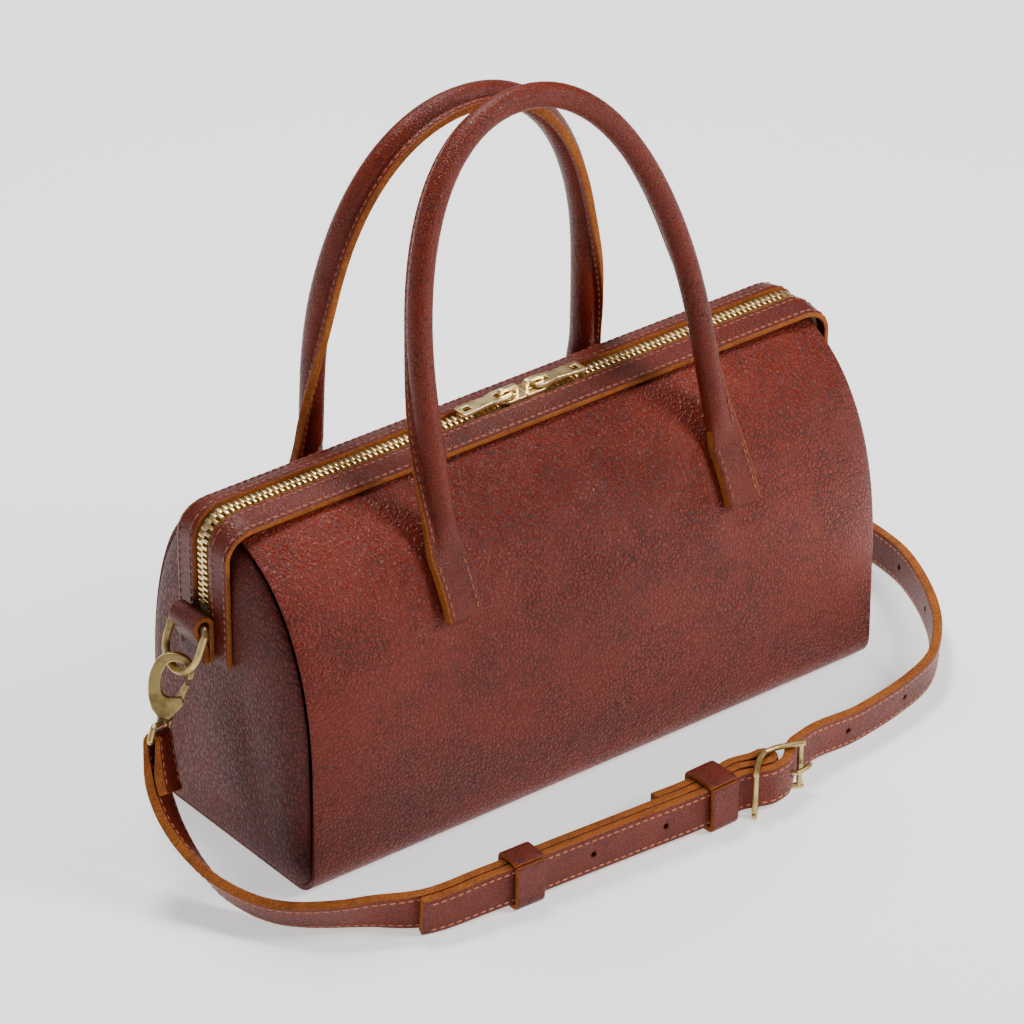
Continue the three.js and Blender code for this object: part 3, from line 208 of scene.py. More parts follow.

# %% [markdown]
# ## Finishes: leather
#
# The leather is full-grain and pebbled: little cushions with valleys between them, glossy on top
# where hands have polished it. A Voronoi texture measured to its cell edges gives the cushions,
# and a noise bends the cells so that they look grown and not tiled. Two finer noises add pores and
# creases. Colour drifts a little over the hide, and painted shade darkens the valleys and creases.

# %%
class Nodes:
    """Short hand for building a material's nodes."""

    def __init__(self, name):
        self.material = bpy.data.materials.new(name)
        self.material.use_nodes = True
        self.tree = self.material.node_tree
        self.tree.nodes.clear()
        self.output = self.add("ShaderNodeOutputMaterial")
        self.surface = self.add("ShaderNodeBsdfPrincipled")
        self.link(self.surface.outputs[0], self.output.inputs[0])

    def link(self, a, b):
        self.tree.links.new(a, b)

    def feed(self, socket, value):
        """Gives a socket a number or a colour, or links another node's output to it."""
        if isinstance(value, (int, float)):
            socket.default_value = value
        elif isinstance(value, tuple):
            socket.default_value = (*value, 1)[:len(socket.default_value)]
        else:
            self.link(value, socket)

    def add(self, kind, sockets=None, **settings):
        node = self.tree.nodes.new(kind)
        for key, value in settings.items():
            setattr(node, key, value)
        for key, value in (sockets or {}).items():
            self.feed(node.inputs[key], value)
        return node

    def place(self, flat=False, stretch=(1, 1, 1)):
        if flat:
            source = self.add("ShaderNodeAttribute", attribute_name="flat").outputs["Vector"]
        else:
            source = self.add("ShaderNodeTexCoord").outputs["Object"]
        mapping = self.add("ShaderNodeMapping", {"Vector": source, "Scale": stretch})
        return mapping.outputs["Vector"]

    def noise(self, vector, scale, detail=3, roughness=0.55, output="Fac"):
        node = self.add("ShaderNodeTexNoise", {"Vector": vector, "Scale": scale,
                                               "Detail": detail, "Roughness": roughness})
        return node.outputs[output]

    def cells(self, vector, scale):
        node = self.add("ShaderNodeTexVoronoi", feature="DISTANCE_TO_EDGE")
        self.feed(node.inputs["Vector"], vector)
        self.feed(node.inputs["Scale"], scale)
        return node.outputs["Distance"]

    def ramp(self, value, *stops):
        node = self.add("ShaderNodeValToRGB", {"Fac": value})
        while len(node.color_ramp.elements) < len(stops):
            node.color_ramp.elements.new(0.5)
        for element, (place, colour) in zip(node.color_ramp.elements, stops):
            element.position = place
            element.color = (*colour, 1)
        return node.outputs["Color"]

    def span(self, value, low, high, to_low=0.0, to_high=1.0):
        ends = {"From Min": low, "From Max": high, "To Min": to_low, "To Max": to_high}
        node = self.add("ShaderNodeMapRange", {"Value": value, **ends},
                        interpolation_type="SMOOTHSTEP")
        return node.outputs["Result"]

    def maths(self, operation, a, b):
        return self.add("ShaderNodeMath", {0: a, 1: b}, operation=operation).outputs[0]

    def mixed(self, amount, a, b):
        return self.add("ShaderNodeMix", {0: amount, 6: a, 7: b}, data_type="RGBA").outputs[2]

    def warped(self, vector, noise_scale, amount):
        """The same places, each moved a little by a noise, so that cells look grown."""
        wobble = self.noise(vector, noise_scale, 2, output="Color")
        centred = self.add("ShaderNodeVectorMath", {0: wobble, 1: (0.5, 0.5, 0.5)},
                           operation="SUBTRACT")
        scaled = self.add("ShaderNodeVectorMath", {0: centred.outputs[0], "Scale": amount},
                          operation="SCALE")
        moved = self.add("ShaderNodeVectorMath", {0: vector, 1: scaled.outputs[0]},
                         operation="ADD")
        return moved.outputs[0]

    def bump(self, height, distance, strength=1.0, normal=None):
        node = self.add("ShaderNodeBump", {"Height": height, "Distance": distance,
                                           "Strength": strength})
        if normal is not None:
            self.link(normal, node.inputs["Normal"])
        return node.outputs["Normal"]

    def set(self, **values):
        for key, value in values.items():
            self.feed(self.surface.inputs[key.replace("_", " ")], value)
        return self.material


def srgb(r, g, b):
    return tuple(((c / 255 + 0.055) / 1.055) ** 2.4 if c > 10 else c / 255 / 12.92
                 for c in (r, g, b))


def leather(name, high, mid, shade_colour, pebble=520, depth=0.00055, flat=False, stretch=(1, 1, 1),
            gloss=0.24):
    n = Nodes(name)
    place = n.place(flat, stretch)
    bent = n.warped(place, pebble * 0.5, 1.0 / pebble)
    bent_small = n.warped(place, pebble * 1.2, 0.6 / pebble)
    large = n.span(n.cells(bent, pebble), 0.0, 0.42)
    small = n.span(n.cells(bent_small, pebble * 2.1), 0.0, 0.4)
    fading = n.span(n.noise(place, 45), 0.35, 0.65, 0.6, 1.0)
    cushion = n.maths("ADD", n.maths("MULTIPLY", large, 0.66), n.maths("MULTIPLY", small, 0.34))
    crease = n.noise(n.warped(place, 55, 0.014), 120, 4, 0.6)
    height = n.maths("ADD", n.maths("MULTIPLY", cushion, fading), n.maths("MULTIPLY", crease, 0.4))
    pores = n.noise(place, 2400, 2)
    drift = n.noise(place, 9, 2, 0.5)
    colour = n.mixed(n.span(drift, 0.3, 0.7, 0.2, 0.8), mid, high)
    # Painted shade: the valleys between the cushions and the creases are darkened towards the
    # shade colour.
    valley_shade = n.maths("MULTIPLY", n.span(cushion, 0.0, 0.27, 0.9, 0.0), fading)
    colour = n.mixed(valley_shade, colour, shade_colour)
    colour = n.mixed(n.span(crease, 0.3, 0.46, 0.25, 0.0), colour, shade_colour)
    worn = n.span(cushion, 0.05, 0.6, gloss + 0.2, gloss)
    rough = n.maths("ADD", worn, n.maths("MULTIPLY", pores, 0.1))
    normal = n.bump(pores, 0.00005, 1.0, n.bump(height, depth))
    return n.set(Base_Color=colour, Roughness=rough, Normal=normal, Specular_IOR_Level=0.3)


# The last colour of each leather is the painted shade of its valleys and creases.
panel_leather = leather("panel leather", srgb(126, 33, 6), srgb(102, 24, 4), srgb(30, 5, 2))
# A darker copy of the panel leather for the ends: its darker colours are painted shade, for ends
# that the lights reach less.
shaded_end_leather = leather("shaded end leather", srgb(102, 25, 6), srgb(80, 18, 4), srgb(24, 4, 2),
                      600, 0.0004, stretch=(1, 1, 0.55), gloss=0.4)
strip_leather = leather("strip leather", srgb(108, 29, 7), srgb(86, 20, 5), srgb(28, 5, 2),
                        700, 0.0003)
handle_leather = leather("handle leather", srgb(124, 36, 7), srgb(98, 25, 5), srgb(30, 6, 3),
                         760, 0.00025)
strap_leather = leather("strap leather", srgb(120, 35, 9), srgb(96, 26, 7), srgb(32, 7, 3),
                        800, 0.00025, flat=True)
print("leathers:", [m.name for m in bpy.data.materials])

# %% [markdown]
# ## Finishes: raw edges, thread, tape and metal
#
# The cut edges are left raw, so they show the undyed amber inside of the hide with its fibres.
# The thread is a thick copper polyester. The tape is woven: two crossed waves give its weave. The
# gilt of the zip is pale and bright, the fittings are brass that has gone dull and a little green
# in the hollows.

# %%
def edge_leather():
    n = Nodes("raw edge")
    place = n.place()
    fibres = n.noise(place, 1500, 4, 0.75)
    patches = n.noise(place, 160)
    colour = n.ramp(fibres, (0.3, srgb(84, 40, 14)), (0.5, srgb(150, 80, 26)),
                    (0.72, srgb(188, 116, 46)))
    colour = n.mixed(n.span(patches, 0.45, 0.7, 0.0, 0.55), colour, srgb(112, 54, 22))
    return n.set(Base_Color=colour, Roughness=0.82, Normal=n.bump(fibres, 0.0003, 0.8),
                 Specular_IOR_Level=0.25)


def thread(name, light, dark):
    n = Nodes(name)
    twist = n.noise(n.place(), 2400, 2)
    colour = n.ramp(twist, (0.3, dark), (0.7, light))
    return n.set(Base_Color=colour, Roughness=0.5, Normal=n.bump(twist, 0.0002, 0.6))


def woven_tape():
    n = Nodes("zip tape")
    place = n.place(flat=True)
    warp, weft = (n.add("ShaderNodeTexWave", {"Vector": place, "Scale": scale, "Distortion": 1.2},
                        wave_type="BANDS", bands_direction=direction).outputs["Fac"]
                  for direction, scale in (("X", 260), ("Y", 420)))
    weave = n.maths("MULTIPLY", warp, weft)
    fuzz = n.noise(place, 900)
    colour = n.ramp(n.maths("ADD", weave, n.maths("MULTIPLY", fuzz, 0.3)),
                    (0.1, srgb(132, 92, 36)), (0.55, srgb(196, 152, 78)),
                    (0.95, srgb(226, 190, 118)))
    return n.set(Base_Color=colour, Roughness=0.72, Normal=n.bump(weave, 0.0004, 0.8),
                 Sheen_Weight=0.3)


def metal(name, bright, dull, rough, stain):
    n = Nodes(name)
    place = n.place()
    cloud = n.noise(place, 130, 4, 0.6)
    grit = n.noise(place, 1400, 3, 0.7)
    colour = n.mixed(n.span(cloud, 0.42, 0.72, 0.0, stain), bright, dull)
    clouded = n.span(cloud, 0.3, 0.7, rough, rough + 0.16)
    roughness = n.maths("ADD", clouded, n.maths("MULTIPLY", grit, 0.08))
    return n.set(Base_Color=colour, Metallic=1.0, Roughness=roughness,
                 Normal=n.bump(grit, 0.00005, 0.5))


raw_edge = edge_leather()
copper_thread = thread("copper thread", srgb(222, 138, 88), srgb(156, 84, 50))
dark_thread = thread("dark thread", srgb(178, 98, 62), srgb(112, 54, 34))
zip_tape = woven_tape()
gilt = metal("gilt", srgb(240, 214, 158), srgb(196, 160, 96), 0.2, 0.3)
aged_brass = metal("aged brass", srgb(196, 170, 112), srgb(120, 98, 58), 0.3, 0.8)
print("finishes:", len(bpy.data.materials))

# %% [markdown]
# ## Flat pieces
#
# `flat_slab` cuts a flat piece of leather: a grid is drawn, extruded to its thickness and its
# edges are rounded with a bevel, because the corner of cut leather is never sharp. The faces of
# the cut edge get the amber material. `lay_on` then carries every point from the table to the
# route of the piece: how far along, how far across, how far above the middle.

# %%
def flat_slab(name, length, width, thick, step, across, surface, edge, round_off=0.4):
    slab = grid(name, max(int(length / step), 3), across)
    co = points(slab)
    put(slab, np.column_stack([(co[:, 0] + 0.5) * length, co[:, 1] * width,
                               np.full(len(co), -thick / 2)]) * MM)
    edit(slab)
    bpy.ops.mesh.extrude_region_move(TRANSFORM_OT_translate={"value": (0, 0, thick * MM)})
    bpy.ops.mesh.select_all(action="SELECT")
    bpy.ops.mesh.normals_make_consistent(inside=False)
    bpy.ops.object.mode_set(mode="OBJECT")
    apply_modifier(slab, "BEVEL", width=round_off * MM, segments=2, limit_method="ANGLE",
                   angle_limit=math.radians(60))
    dress(slab, surface, edge)
    rim = min(round_off, thick / 2) * 0.7
    for face in slab.data.polygons:
        x, y, z = (c / MM for c in face.center)
        near_edge = abs(y) > width / 2 - rim or x < rim or x > length - rim
        face.material_index = 1 if near_edge and abs(face.normal.z) < 0.8 else 0
    keep_flat(slab, points(slab))
    return slab


def take(table, at, run):
    """Reads every column of a table at places between its rows."""
    return np.column_stack([np.interp(at, run, table[:, k]) for k in range(table.shape[1])])


def make_route(centre, wide):
    """A line to lay leather on: its middle, the way across and the way up at each point."""
    run = running(centre)
    face = unit(np.cross(unit(np.gradient(centre, axis=0)), wide))
    return {"run": run, "centre": centre, "wide": wide, "face": face, "thin": np.ones(len(run)),
            "length": float(run[-1])}


def lay_on(piece, route):
    co = points(piece) / MM
    run = route["run"]
    centre, wide, face = (take(route[key], co[:, 0], run) for key in ("centre", "wide", "face"))
    thin = np.interp(co[:, 0], run, route["thin"])[:, None]
    put(piece, (centre + unit(wide) * co[:, 1:2] + unit(face) * co[:, 2:3] * thin) * MM)
    return piece


def stitch_row(start, end, across, height, surface, pitch=3.3):
    deselect()
    bpy.ops.mesh.primitive_ico_sphere_add(subdivisions=1, radius=1)
    stitch = named("stitch")
    put(stitch, points(stitch) * np.array([1.35, 0.42, 0.34]) * MM)
    repeat(stitch, max(int((end - start) / pitch), 1), pitch)
    put(stitch, points(stitch) + np.array([start + pitch / 2, across, height]) * MM)
    dress(stitch, surface)
    return stitch


def extra(piece, body="bag"):
    """The piece moves with its body."""
    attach(piece, body)
    print(piece.name, len(piece.data.polygons), "faces")


def fit(piece, node, body="bag"):
    """The piece also stands for its CAD node."""
    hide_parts(node)
    extra(piece, body)


def sew(name, rows, route, lay=lay_on):
    """Joins rows of stitches and lays them on the line of the leather that they go through."""
    stitches = join(name, rows)
    lay(stitches, route)
    shade(stitches, 60)
    extra(stitches)


print("flat pieces ready")

# %% [markdown]
# ## The outline of the bag
#
# Seen from its end the bag is a flat bottom with rounded corners, upright walls and a squarish
# arch over the top, leaning a little to the back. The outline is drawn once as a fine line and
# used by both the wrapped panel and the end panels.

# %%
def half_outline(side, from_zip):
    half = BAG_DEPTH / 2
    turn = np.linspace(0, np.pi / 2, 14)
    corner = np.column_stack([half - BOTTOM_RADIUS + BOTTOM_RADIUS * np.sin(turn),
                              BOTTOM_RADIUS - BOTTOM_RADIUS * np.cos(turn)])
    bottom = np.column_stack([np.linspace(0, half - BOTTOM_RADIUS, 20)[:-1], np.zeros(19)])
    wall = np.column_stack([np.full(12, half), np.linspace(BOTTOM_RADIUS, WALL_HEIGHT, 14)[1:-1]])
    top = np.arccos((from_zip / half) ** (ARCH_POWER / 2))
    turn = np.linspace(0, top, 60)
    arch = np.column_stack([half * np.maximum(np.cos(turn), 0) ** (2 / ARCH_POWER),
                            WALL_HEIGHT + ARCH_HEIGHT * np.sin(turn) ** (2 / ARCH_POWER)])
    line = np.vstack([bottom, corner, wall, arch])
    lean = TOP_LEAN * (np.maximum(line[:, 1] - WALL_HEIGHT, 0) / ARCH_HEIGHT) ** 4
    return np.column_stack([side * line[:, 0] + lean, line[:, 1]])


def resample(line, count):
    run = running(line)
    return take(line, np.linspace(0, run[-1], count), run)


def outward_of(line):
    along = unit(np.gradient(line, axis=0))
    return np.column_stack([along[:, 1], -along[:, 0]])


def whole_outline(from_zip, count):
    front = half_outline(-1, from_zip)[::-1]
    back = half_outline(1, from_zip)[1:]
    return resample(np.vstack([front, back]), count)


def crowned(x, from_zip, count):
    """Outer outline of the wrapped panel at a place along the bag, from front top to back top."""
    line = whole_outline(from_zip, count)
    outward = outward_of(line)
    share = np.interp(line[:, 1] / CREST, CROWN_TABLE[:, 0], CROWN_TABLE[:, 1])
    along = (1 - min(abs(2 * x / BAG_LENGTH), 1) ** CROWN_SQUARENESS) ** 0.7
    above_floor = (line[:, 1] > 0.01).astype(float)
    return line + outward * (CROWN * along * share * above_floor)[:, None]


print("outline length", round(float(running(whole_outline(ZIP_OPENING / 2, 300))[-1]), 1))

# %% [markdown]
# ## The wrapped panel
#
# One piece of leather goes from the zip down the front, under the bottom and up the back. A grid
# is enough: its columns are places along the bag, its rows places round the outline. The leather
# swells between the end seams and sags a little under the handles, and its ends turn in at the
# seams. A solidify modifier gives it its wall, on the inside.

# %%
def make_body_panel():
    columns, rows = 120, 190
    panel = grid("wrapped_panel", columns, rows)
    co = points(panel)
    column = np.round((co[:, 0] + 0.5) * columns).astype(int)
    row = np.round((co[:, 1] + 0.5) * rows).astype(int)
    table = np.empty((columns + 1, rows + 1, 3))
    for k in range(columns + 1):
        s = 2 * k / columns - 1
        x = math.copysign(1 - (1 - abs(s)) ** 1.5, s) * BAG_LENGTH / 2
        line = crowned(x, ZIP_OPENING / 2, rows + 1)
        outward = outward_of(line)
        z = line[:, 1]
        front = np.where(line[:, 0] < 0, 1.0, -1.0)
        sag = 0.55 * np.sin(x / 23 + front) * np.exp(-((z - 84) / 20) ** 2)
        sag += (0.5 * np.sin(x / 31 + z / 17 + 1.3 * front)
                * smooth_step(z / 30) * smooth_step((128 - z) / 30))
        for foot in (-HANDLE_SPACING / 2, HANDLE_SPACING / 2):
            sag -= 0.7 * np.exp(-((x - foot) / 9) ** 2 - ((z - 90) / 11) ** 2)
        quiet = smooth_step((BAG_LENGTH / 2 - abs(x)) / 18)
        line = line + outward * (sag * quiet * (z > 3))[:, None]
        table[k] = np.column_stack([np.full(rows + 1, x), line])
    put(panel, table[column, row] * MM)
    tidy_mesh(panel)
    face_away(panel, (0, 0, BAG_MIDDLE * MM))
    apply_modifier(panel, "SOLIDIFY", thickness=LEATHER * MM, offset=-1, use_even_offset=True)
    dress(panel, panel_leather)
    shade(panel, 50)
    fit(panel, "body_panel")


make_body_panel()

# %% [markdown]
# ## The end panels
#
# Each end is a flat piece sewn in a little inside the wrapped panel's edge, pushed out by what
# the bag holds. It is modelled as rings round its middle, so that the swelling is a function of
# how far out a ring lies. A slot is cut at the top for the end of the zip, with a box and a
# Boolean, which is the quickest clean cut.

# %%
def make_end_panel(side, name):
    around, rings = 160, 40
    panel = grid(f"end_panel_skin_{name}", around, rings)
    co = points(panel)
    k = np.round((co[:, 0] + 0.5) * around).astype(int)
    share = 1 - (0.5 - co[:, 1]) ** 1.6
    rim = whole_outline(0, around + 1)
    outward = outward_of(rim)
    outward[0] = outward[-1] = unit(outward[0] + outward[-1])
    rim = rim - outward * (LEATHER + GAP)
    rim[-1] = rim[0]
    centre = np.array([0, END_CENTRE])
    flat = centre + (rim[k] - centre) * share[:, None]
    swell = END_BULGE * np.sqrt(np.maximum(1 - share ** 6, 0))
    y, z = flat[:, 0], flat[:, 1]
    fold = 1.3 * np.exp(-((y + 18 - (z - 60) * 0.25) / 9) ** 2) * np.exp(-((z - 45) / 34) ** 2)
    fold += 0.9 * np.exp(-((y - 20 + (z - 50) * 0.3) / 10) ** 2) * np.exp(-((z - 40) / 30) ** 2)
    quiet = smooth_step((1 - share) / 0.3) * smooth_step((96 - z) / 26)
    x = BAG_LENGTH / 2 - GAP + swell - fold * quiet
    put(panel, np.column_stack([side * x, y, z]) * MM)
    tidy_mesh(panel, 0.05)
    face_away(panel, (0, 0, END_CENTRE * MM))
    apply_modifier(panel, "SOLIDIFY", thickness=LEATHER * MM, offset=-1)
    deselect()
    bpy.ops.mesh.primitive_cube_add(size=1)
    slot_box = named("slot_box")
    size = np.array([70, ZIP_OPENING, 100])
    middle = np.array([side * BAG_LENGTH / 2, TOP_LEAN, STRIP_FOOT + 2 + size[2] / 2])
    put(slot_box, (points(slot_box) * size + middle) * MM)
    cut(panel, slot_box)
    only(slot_box)
    bpy.ops.object.delete()
    dress(panel, shaded_end_leather)
    shade(panel, 50)
    fit(panel, f"end_panel_{name}")


for side, name in ((-1, "left"), (1, "right")):
    make_end_panel(side, name)

# %% [markdown]
# ## The zip
#
# The zip runs over the top and a hand's breadth down both ends. Strips, tape and teeth follow the
# same line, so the line is drawn once. The two leather strips are flat slabs with raw edges and
# stitches; the teeth are one small tooth repeated by an array, first flat and then laid on.

# %%
def zip_route(foot):
    bend_x, bend_z = STRIP_END - STRIP_BEND, STRIP_SEAT - STRIP_BEND
    turn = np.linspace(0, np.pi / 2, 24)
    top = np.column_stack([np.linspace(0, bend_x, 60)[:-1], np.full(59, STRIP_SEAT), np.zeros(59)])
    bend = np.column_stack([bend_x + STRIP_BEND * np.sin(turn),
                            bend_z + STRIP_BEND * np.cos(turn), turn])
    down = np.column_stack([np.full(30, STRIP_END), np.linspace(bend_z, foot, 31)[1:],
                            np.full(30, np.pi / 2)])
    half = np.vstack([top, bend, down])
    line = np.vstack([half[1:][::-1] * np.array([-1, 1, -1]), half])
    run = running(line[:, :2])
    return {"run": run, "line": line, "length": float(run[-1])}


def lay_on_zip(piece, route, across=0, above=0):
    """The arch falls away to both sides of the zip, but on the ends hardly at all."""
    co = points(piece) / MM + np.array([0, across, above])
    x, z, turn = take(route["line"], co[:, 0], route["run"]).T
    share = mix(1, 0.12, smooth_step(np.abs(turn) / (np.pi / 2)))
    from_middle = np.abs(co[:, 1]) / (BAG_DEPTH / 2)
    drop = ARCH_HEIGHT * (1 - (1 - from_middle ** ARCH_POWER) ** (1 / ARCH_POWER))
    height = co[:, 2] - drop * share
    put(piece, np.column_stack([x + height * np.sin(turn), TOP_LEAN + co[:, 1],
                                z + height * np.cos(turn)]) * MM)


strip_route = zip_route(STRIP_FOOT)
for side, name in ((-1, "front"), (1, "back")):
    strip = flat_slab(f"strip_{name}", strip_route["length"], STRIP_WIDTH, STRIP_THICKNESS,
                      1.6, 10, strip_leather, raw_edge, 0.45)
    lay_on_zip(strip, strip_route, side * (STRIP_GAP + STRIP_WIDTH) / 2, STRIP_THICKNESS / 2)
    shade(strip, 50)
    fit(strip, f"zip_strip_{name}")
    places = (STRIP_GAP / 2 + 2.2, STRIP_GAP / 2 + STRIP_WIDTH - 1.3)
    rows = [stitch_row(2, strip_route["length"] - 2, side * place, STRIP_THICKNESS + 0.08,
                       dark_thread) for place in places]
    sew(f"strip_stitches_{name}", rows, strip_route, lay_on_zip)

tape_route = zip_route(STRIP_FOOT + 2.3)
tape = flat_slab("woven_tape", tape_route["length"], ZIP_OPENING - 2 * GAP, TAPE_THICKNESS, 2, 12,
                 zip_tape, zip_tape, 0.3)
lay_on_zip(tape, tape_route, above=-GAP - TAPE_THICKNESS / 2)
shade(tape, 50)
fit(tape, "zip_tape")


def tooth_row(side, length, pitch=2.5):
    deselect()
    bpy.ops.mesh.primitive_cube_add(size=1)
    tooth = named("tooth")
    put(tooth, points(tooth) * np.array([1.25, 3.35, 1.5]) * MM)
    apply_modifier(tooth, "BEVEL", width=0.3 * MM, segments=2)
    start = pitch * (0.5 if side < 0 else 1.0)
    repeat(tooth, int((length - start) / pitch), pitch)
    put(tooth, points(tooth) + np.array([start, side * 1.27, 0.75]) * MM)
    dress(tooth, gilt)
    return tooth


chain_route = zip_route(CHAIN_FOOT)
teeth = join("zip_teeth", [tooth_row(side, chain_route["length"]) for side in (-1, 1)])
lay_on_zip(teeth, chain_route)
shade(teeth, 40)
fit(teeth, "zip_chain")

# %% [markdown]
# ## The handles
#
# A handle is a rolled tube of leather whose two edges meet in a sewn flange; at both feet it
# opens out flat into a tab that is stitched to the panel. The section changes along the line, so
# a grid is wrapped: one direction runs along the handle, the other round its section.

# %%
def panel_at(side, x, height):
    line = crowned(x, ZIP_OPENING / 2, 400)
    half = line[:200] if side < 0 else line[200:][::-1]
    k = int(np.argmax(half[:, 1] <= height))
    above, below = half[k - 1], half[k]
    y = below[0] + (above[0] - below[0]) * (height - below[1]) / (above[1] - below[1])
    rise = unit(above - below)
    return y, rise, np.array([side * rise[1], -side * rise[0]])


def handle_route(side, top, lean_degrees, sway):
    foot_x = HANDLE_SPACING / 2
    seat = TAB_THICKNESS / 2 + GAP
    tab_top = HANDLE_FOOT + TAB_LENGTH * 0.83
    rows = []
    for height in np.linspace(HANDLE_FOOT, tab_top, 14):
        y, rise, outward = panel_at(side, foot_x, height)
        rows.append((foot_x, y + outward[0] * seat, height + outward[1] * seat, 0.0))
    leave = rows[-1]
    rise = panel_at(side, foot_x, tab_top)[1]
    slope = abs(rise[0] / rise[1])
    lean = math.tan(math.radians(lean_degrees))
    full = top - HANDLE_FOOT
    start = math.asin(((leave[2] - HANDLE_FOOT) / full) ** (ARCH_SQUARENESS / 2))
    for k in range(70):
        turn = start + (math.pi / 2 - start) * ((k + 1) / 70) ** 0.85
        share = math.sin(turn) ** (2 / ARCH_SQUARENESS)
        z = HANDLE_FOOT + full * share
        free = z - leave[2]
        back = lean * free + (slope - lean) * 2 * (1 - math.exp(-free / 2))
        rows.append((foot_x * max(math.cos(turn), 0) ** (2 / ARCH_ROUNDNESS),
                     leave[1] - side * back, z, float(smooth_step(free / (HANDLE_TUBE * 1.5)))))
    leg = np.array(rows)
    share = (leg[:, 2] - HANDLE_FOOT) / full
    left, right = (np.column_stack([end * leg[:, 0] + sway * share, leg[:, 1:], share])
                   for end in (-1, 1))
    rows = np.vstack([left, right[:-1][::-1]])
    centre = rows[:, :3]
    along = unit(np.gradient(centre, axis=0))
    climb = np.column_stack([np.zeros(len(rows)), along[:, 1], along[:, 2]])
    climb[len(left):] *= -1
    climb[len(left) - 1] = climb[len(left) - 2]
    climb = unit(climb)
    outward = np.column_stack([np.zeros(len(rows)), side * climb[:, 2], -side * climb[:, 1]])
    wide = unit(np.cross(along, outward) * side)
    turn = (np.pi / 2) * smooth_step((rows[:, 4] - TWIST_START) / TWIST_SPAN)[:, None]
    route = make_route(centre, wide * np.cos(turn) - outward * np.sin(turn))
    route["round"] = rows[:, 3]
    return route


def handle_section():
    """Round and flat outlines with equal numbers of points; the last ones are the cut edge."""
    radius, edge, rounded = HANDLE_TUBE / 2, FLANGE_THICKNESS / 2, 0.6
    neck, reach = math.sqrt(radius ** 2 - edge ** 2), radius + FLANGE
    middle, half = FLANGE / 2, TAB_THICKNESS / 2
    near, far = middle - TAB_WIDTH / 2, middle + TAB_WIDTH / 2
    turn = np.radians(np.linspace(36, 324, 33))
    corner = np.linspace(0, np.pi / 2, 4)

    def cut_edge(reach, half, from_neck):
        lower = np.column_stack([reach - rounded + rounded * np.sin(corner),
                                 rounded - half - rounded * np.cos(corner)])
        return np.vstack([[from_neck, -half], lower, lower[::-1] * [1, -1], [from_neck, half]])

    tube = np.vstack([[neck, edge], radius * np.column_stack([np.cos(turn), np.sin(turn)]),
                      [neck, -edge], cut_edge(reach, edge, (neck + reach) / 2)])
    path = np.array([[far * 0.72, half], [near + 0.5, half], [near, half - 0.5],
                     [near, 0.5 - half], [near + 0.5, -half], [far * 0.72, -half]])
    flat = np.vstack([resample(path, 35), cut_edge(far, half, far * 0.86)])
    return tube - [middle, 0], flat - [middle, 0]


def make_handle(side, top, lean_degrees, sway, name):
    route = handle_route(side, top, lean_degrees, sway)
    length = route["length"]
    tube, flat = handle_section()
    count = len(tube)
    handle = grid(f"handle_{name}_leather", 260, count)
    co = points(handle)
    at = (co[:, 0] + 0.5) * length
    k = np.round((co[:, 1] + 0.5) * count).astype(int) % count
    roundness = np.interp(at, route["run"], route["round"])[:, None]
    put(handle, np.column_stack([at, mix(flat[k], tube[k], roundness)]) * MM)
    keep_flat(handle, np.column_stack([at, k * 0.8, np.zeros(len(k))]) * MM)
    far_edge = (k >= count - 9) & (k < count - 1)
    near_edge = (k >= 15) & (k <= 20) & (roundness[:, 0] < 0.5)
    raw = far_edge | near_edge
    dress(handle, handle_leather, raw_edge)
    for face in handle.data.polygons:
        face.material_index = int(all(raw[v] for v in face.vertices))
    lay_on(handle, route)
    tidy_mesh(handle, 0.005)
    edit(handle)
    bpy.ops.mesh.select_all(action="DESELECT")
    bpy.ops.mesh.select_mode(type="EDGE")
    bpy.ops.mesh.select_non_manifold(extend=False, use_wire=False, use_boundary=True,
                                     use_multi_face=False, use_non_contiguous=False,
                                     use_verts=False)
    bpy.ops.mesh.edge_face_add()
    bpy.ops.mesh.select_all(action="SELECT")
    bpy.ops.mesh.normals_make_consistent(inside=False)
    bpy.ops.object.mode_set(mode="OBJECT")
    for face in handle.data.polygons:
        if len(face.vertices) > 6:
            face.material_index = 1
    shade(handle, 42)
    fit(handle, f"handle_{name}")
    tab, seam = TAB_LENGTH * 0.9, HANDLE_TUBE / 2 + FLANGE * 0.42 - FLANGE / 2
    rows = [stitch_row(30, length - 30, seam, up * (FLANGE_THICKNESS / 2 + 0.08), dark_thread)
            for up in (-1, 1)]
    rows += [stitch_row(start, start + tab, place * (TAB_WIDTH / 2 - 1.9),
                        -side * (TAB_THICKNESS / 2 + 0.05), dark_thread)
             for place in (-1, 1) for start in (1.5, length - tab - 1.5)]
    sew(f"handle_stitches_{name}", rows, route)


make_handle(-1, 266, 17, 1, "front")
make_handle(1, 263, 9, -11, "back")

# %% [markdown]
# ## The end loops and rings
#
# At each end a leather tab is folded round the straight bar of a D-ring and sewn over the end of
# the zip. Rings, clasps, sliders and the buckle are short hard shapes whose CAD bodies are already
# right, but their edges are too sharp. A copy is merged, remeshed finely and smoothed, so that
# every edge is rounded the way cast and tumbled metal is.

# %%
def softened(node, name, material, voxel, rounds):
    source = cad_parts[node]
    piece = bpy.data.objects.new(name, source.data.copy())
    bpy.context.scene.collection.objects.link(piece)
    piece.matrix_world = source.matrix_world.copy()
    only(piece)
    bpy.ops.object.transform_apply(location=True, rotation=True, scale=True)
    tidy_mesh(piece)
    apply_modifier(piece, "REMESH", mode="VOXEL", voxel_size=voxel * MM)
    apply_modifier(piece, "SMOOTH", factor=0.5, iterations=rounds)
    apply_modifier(piece, "DISPLACE", strength=0.1 * MM, mid_level=0)
    dress(piece, material)
    only(piece)
    bpy.ops.object.shade_smooth()
    return piece


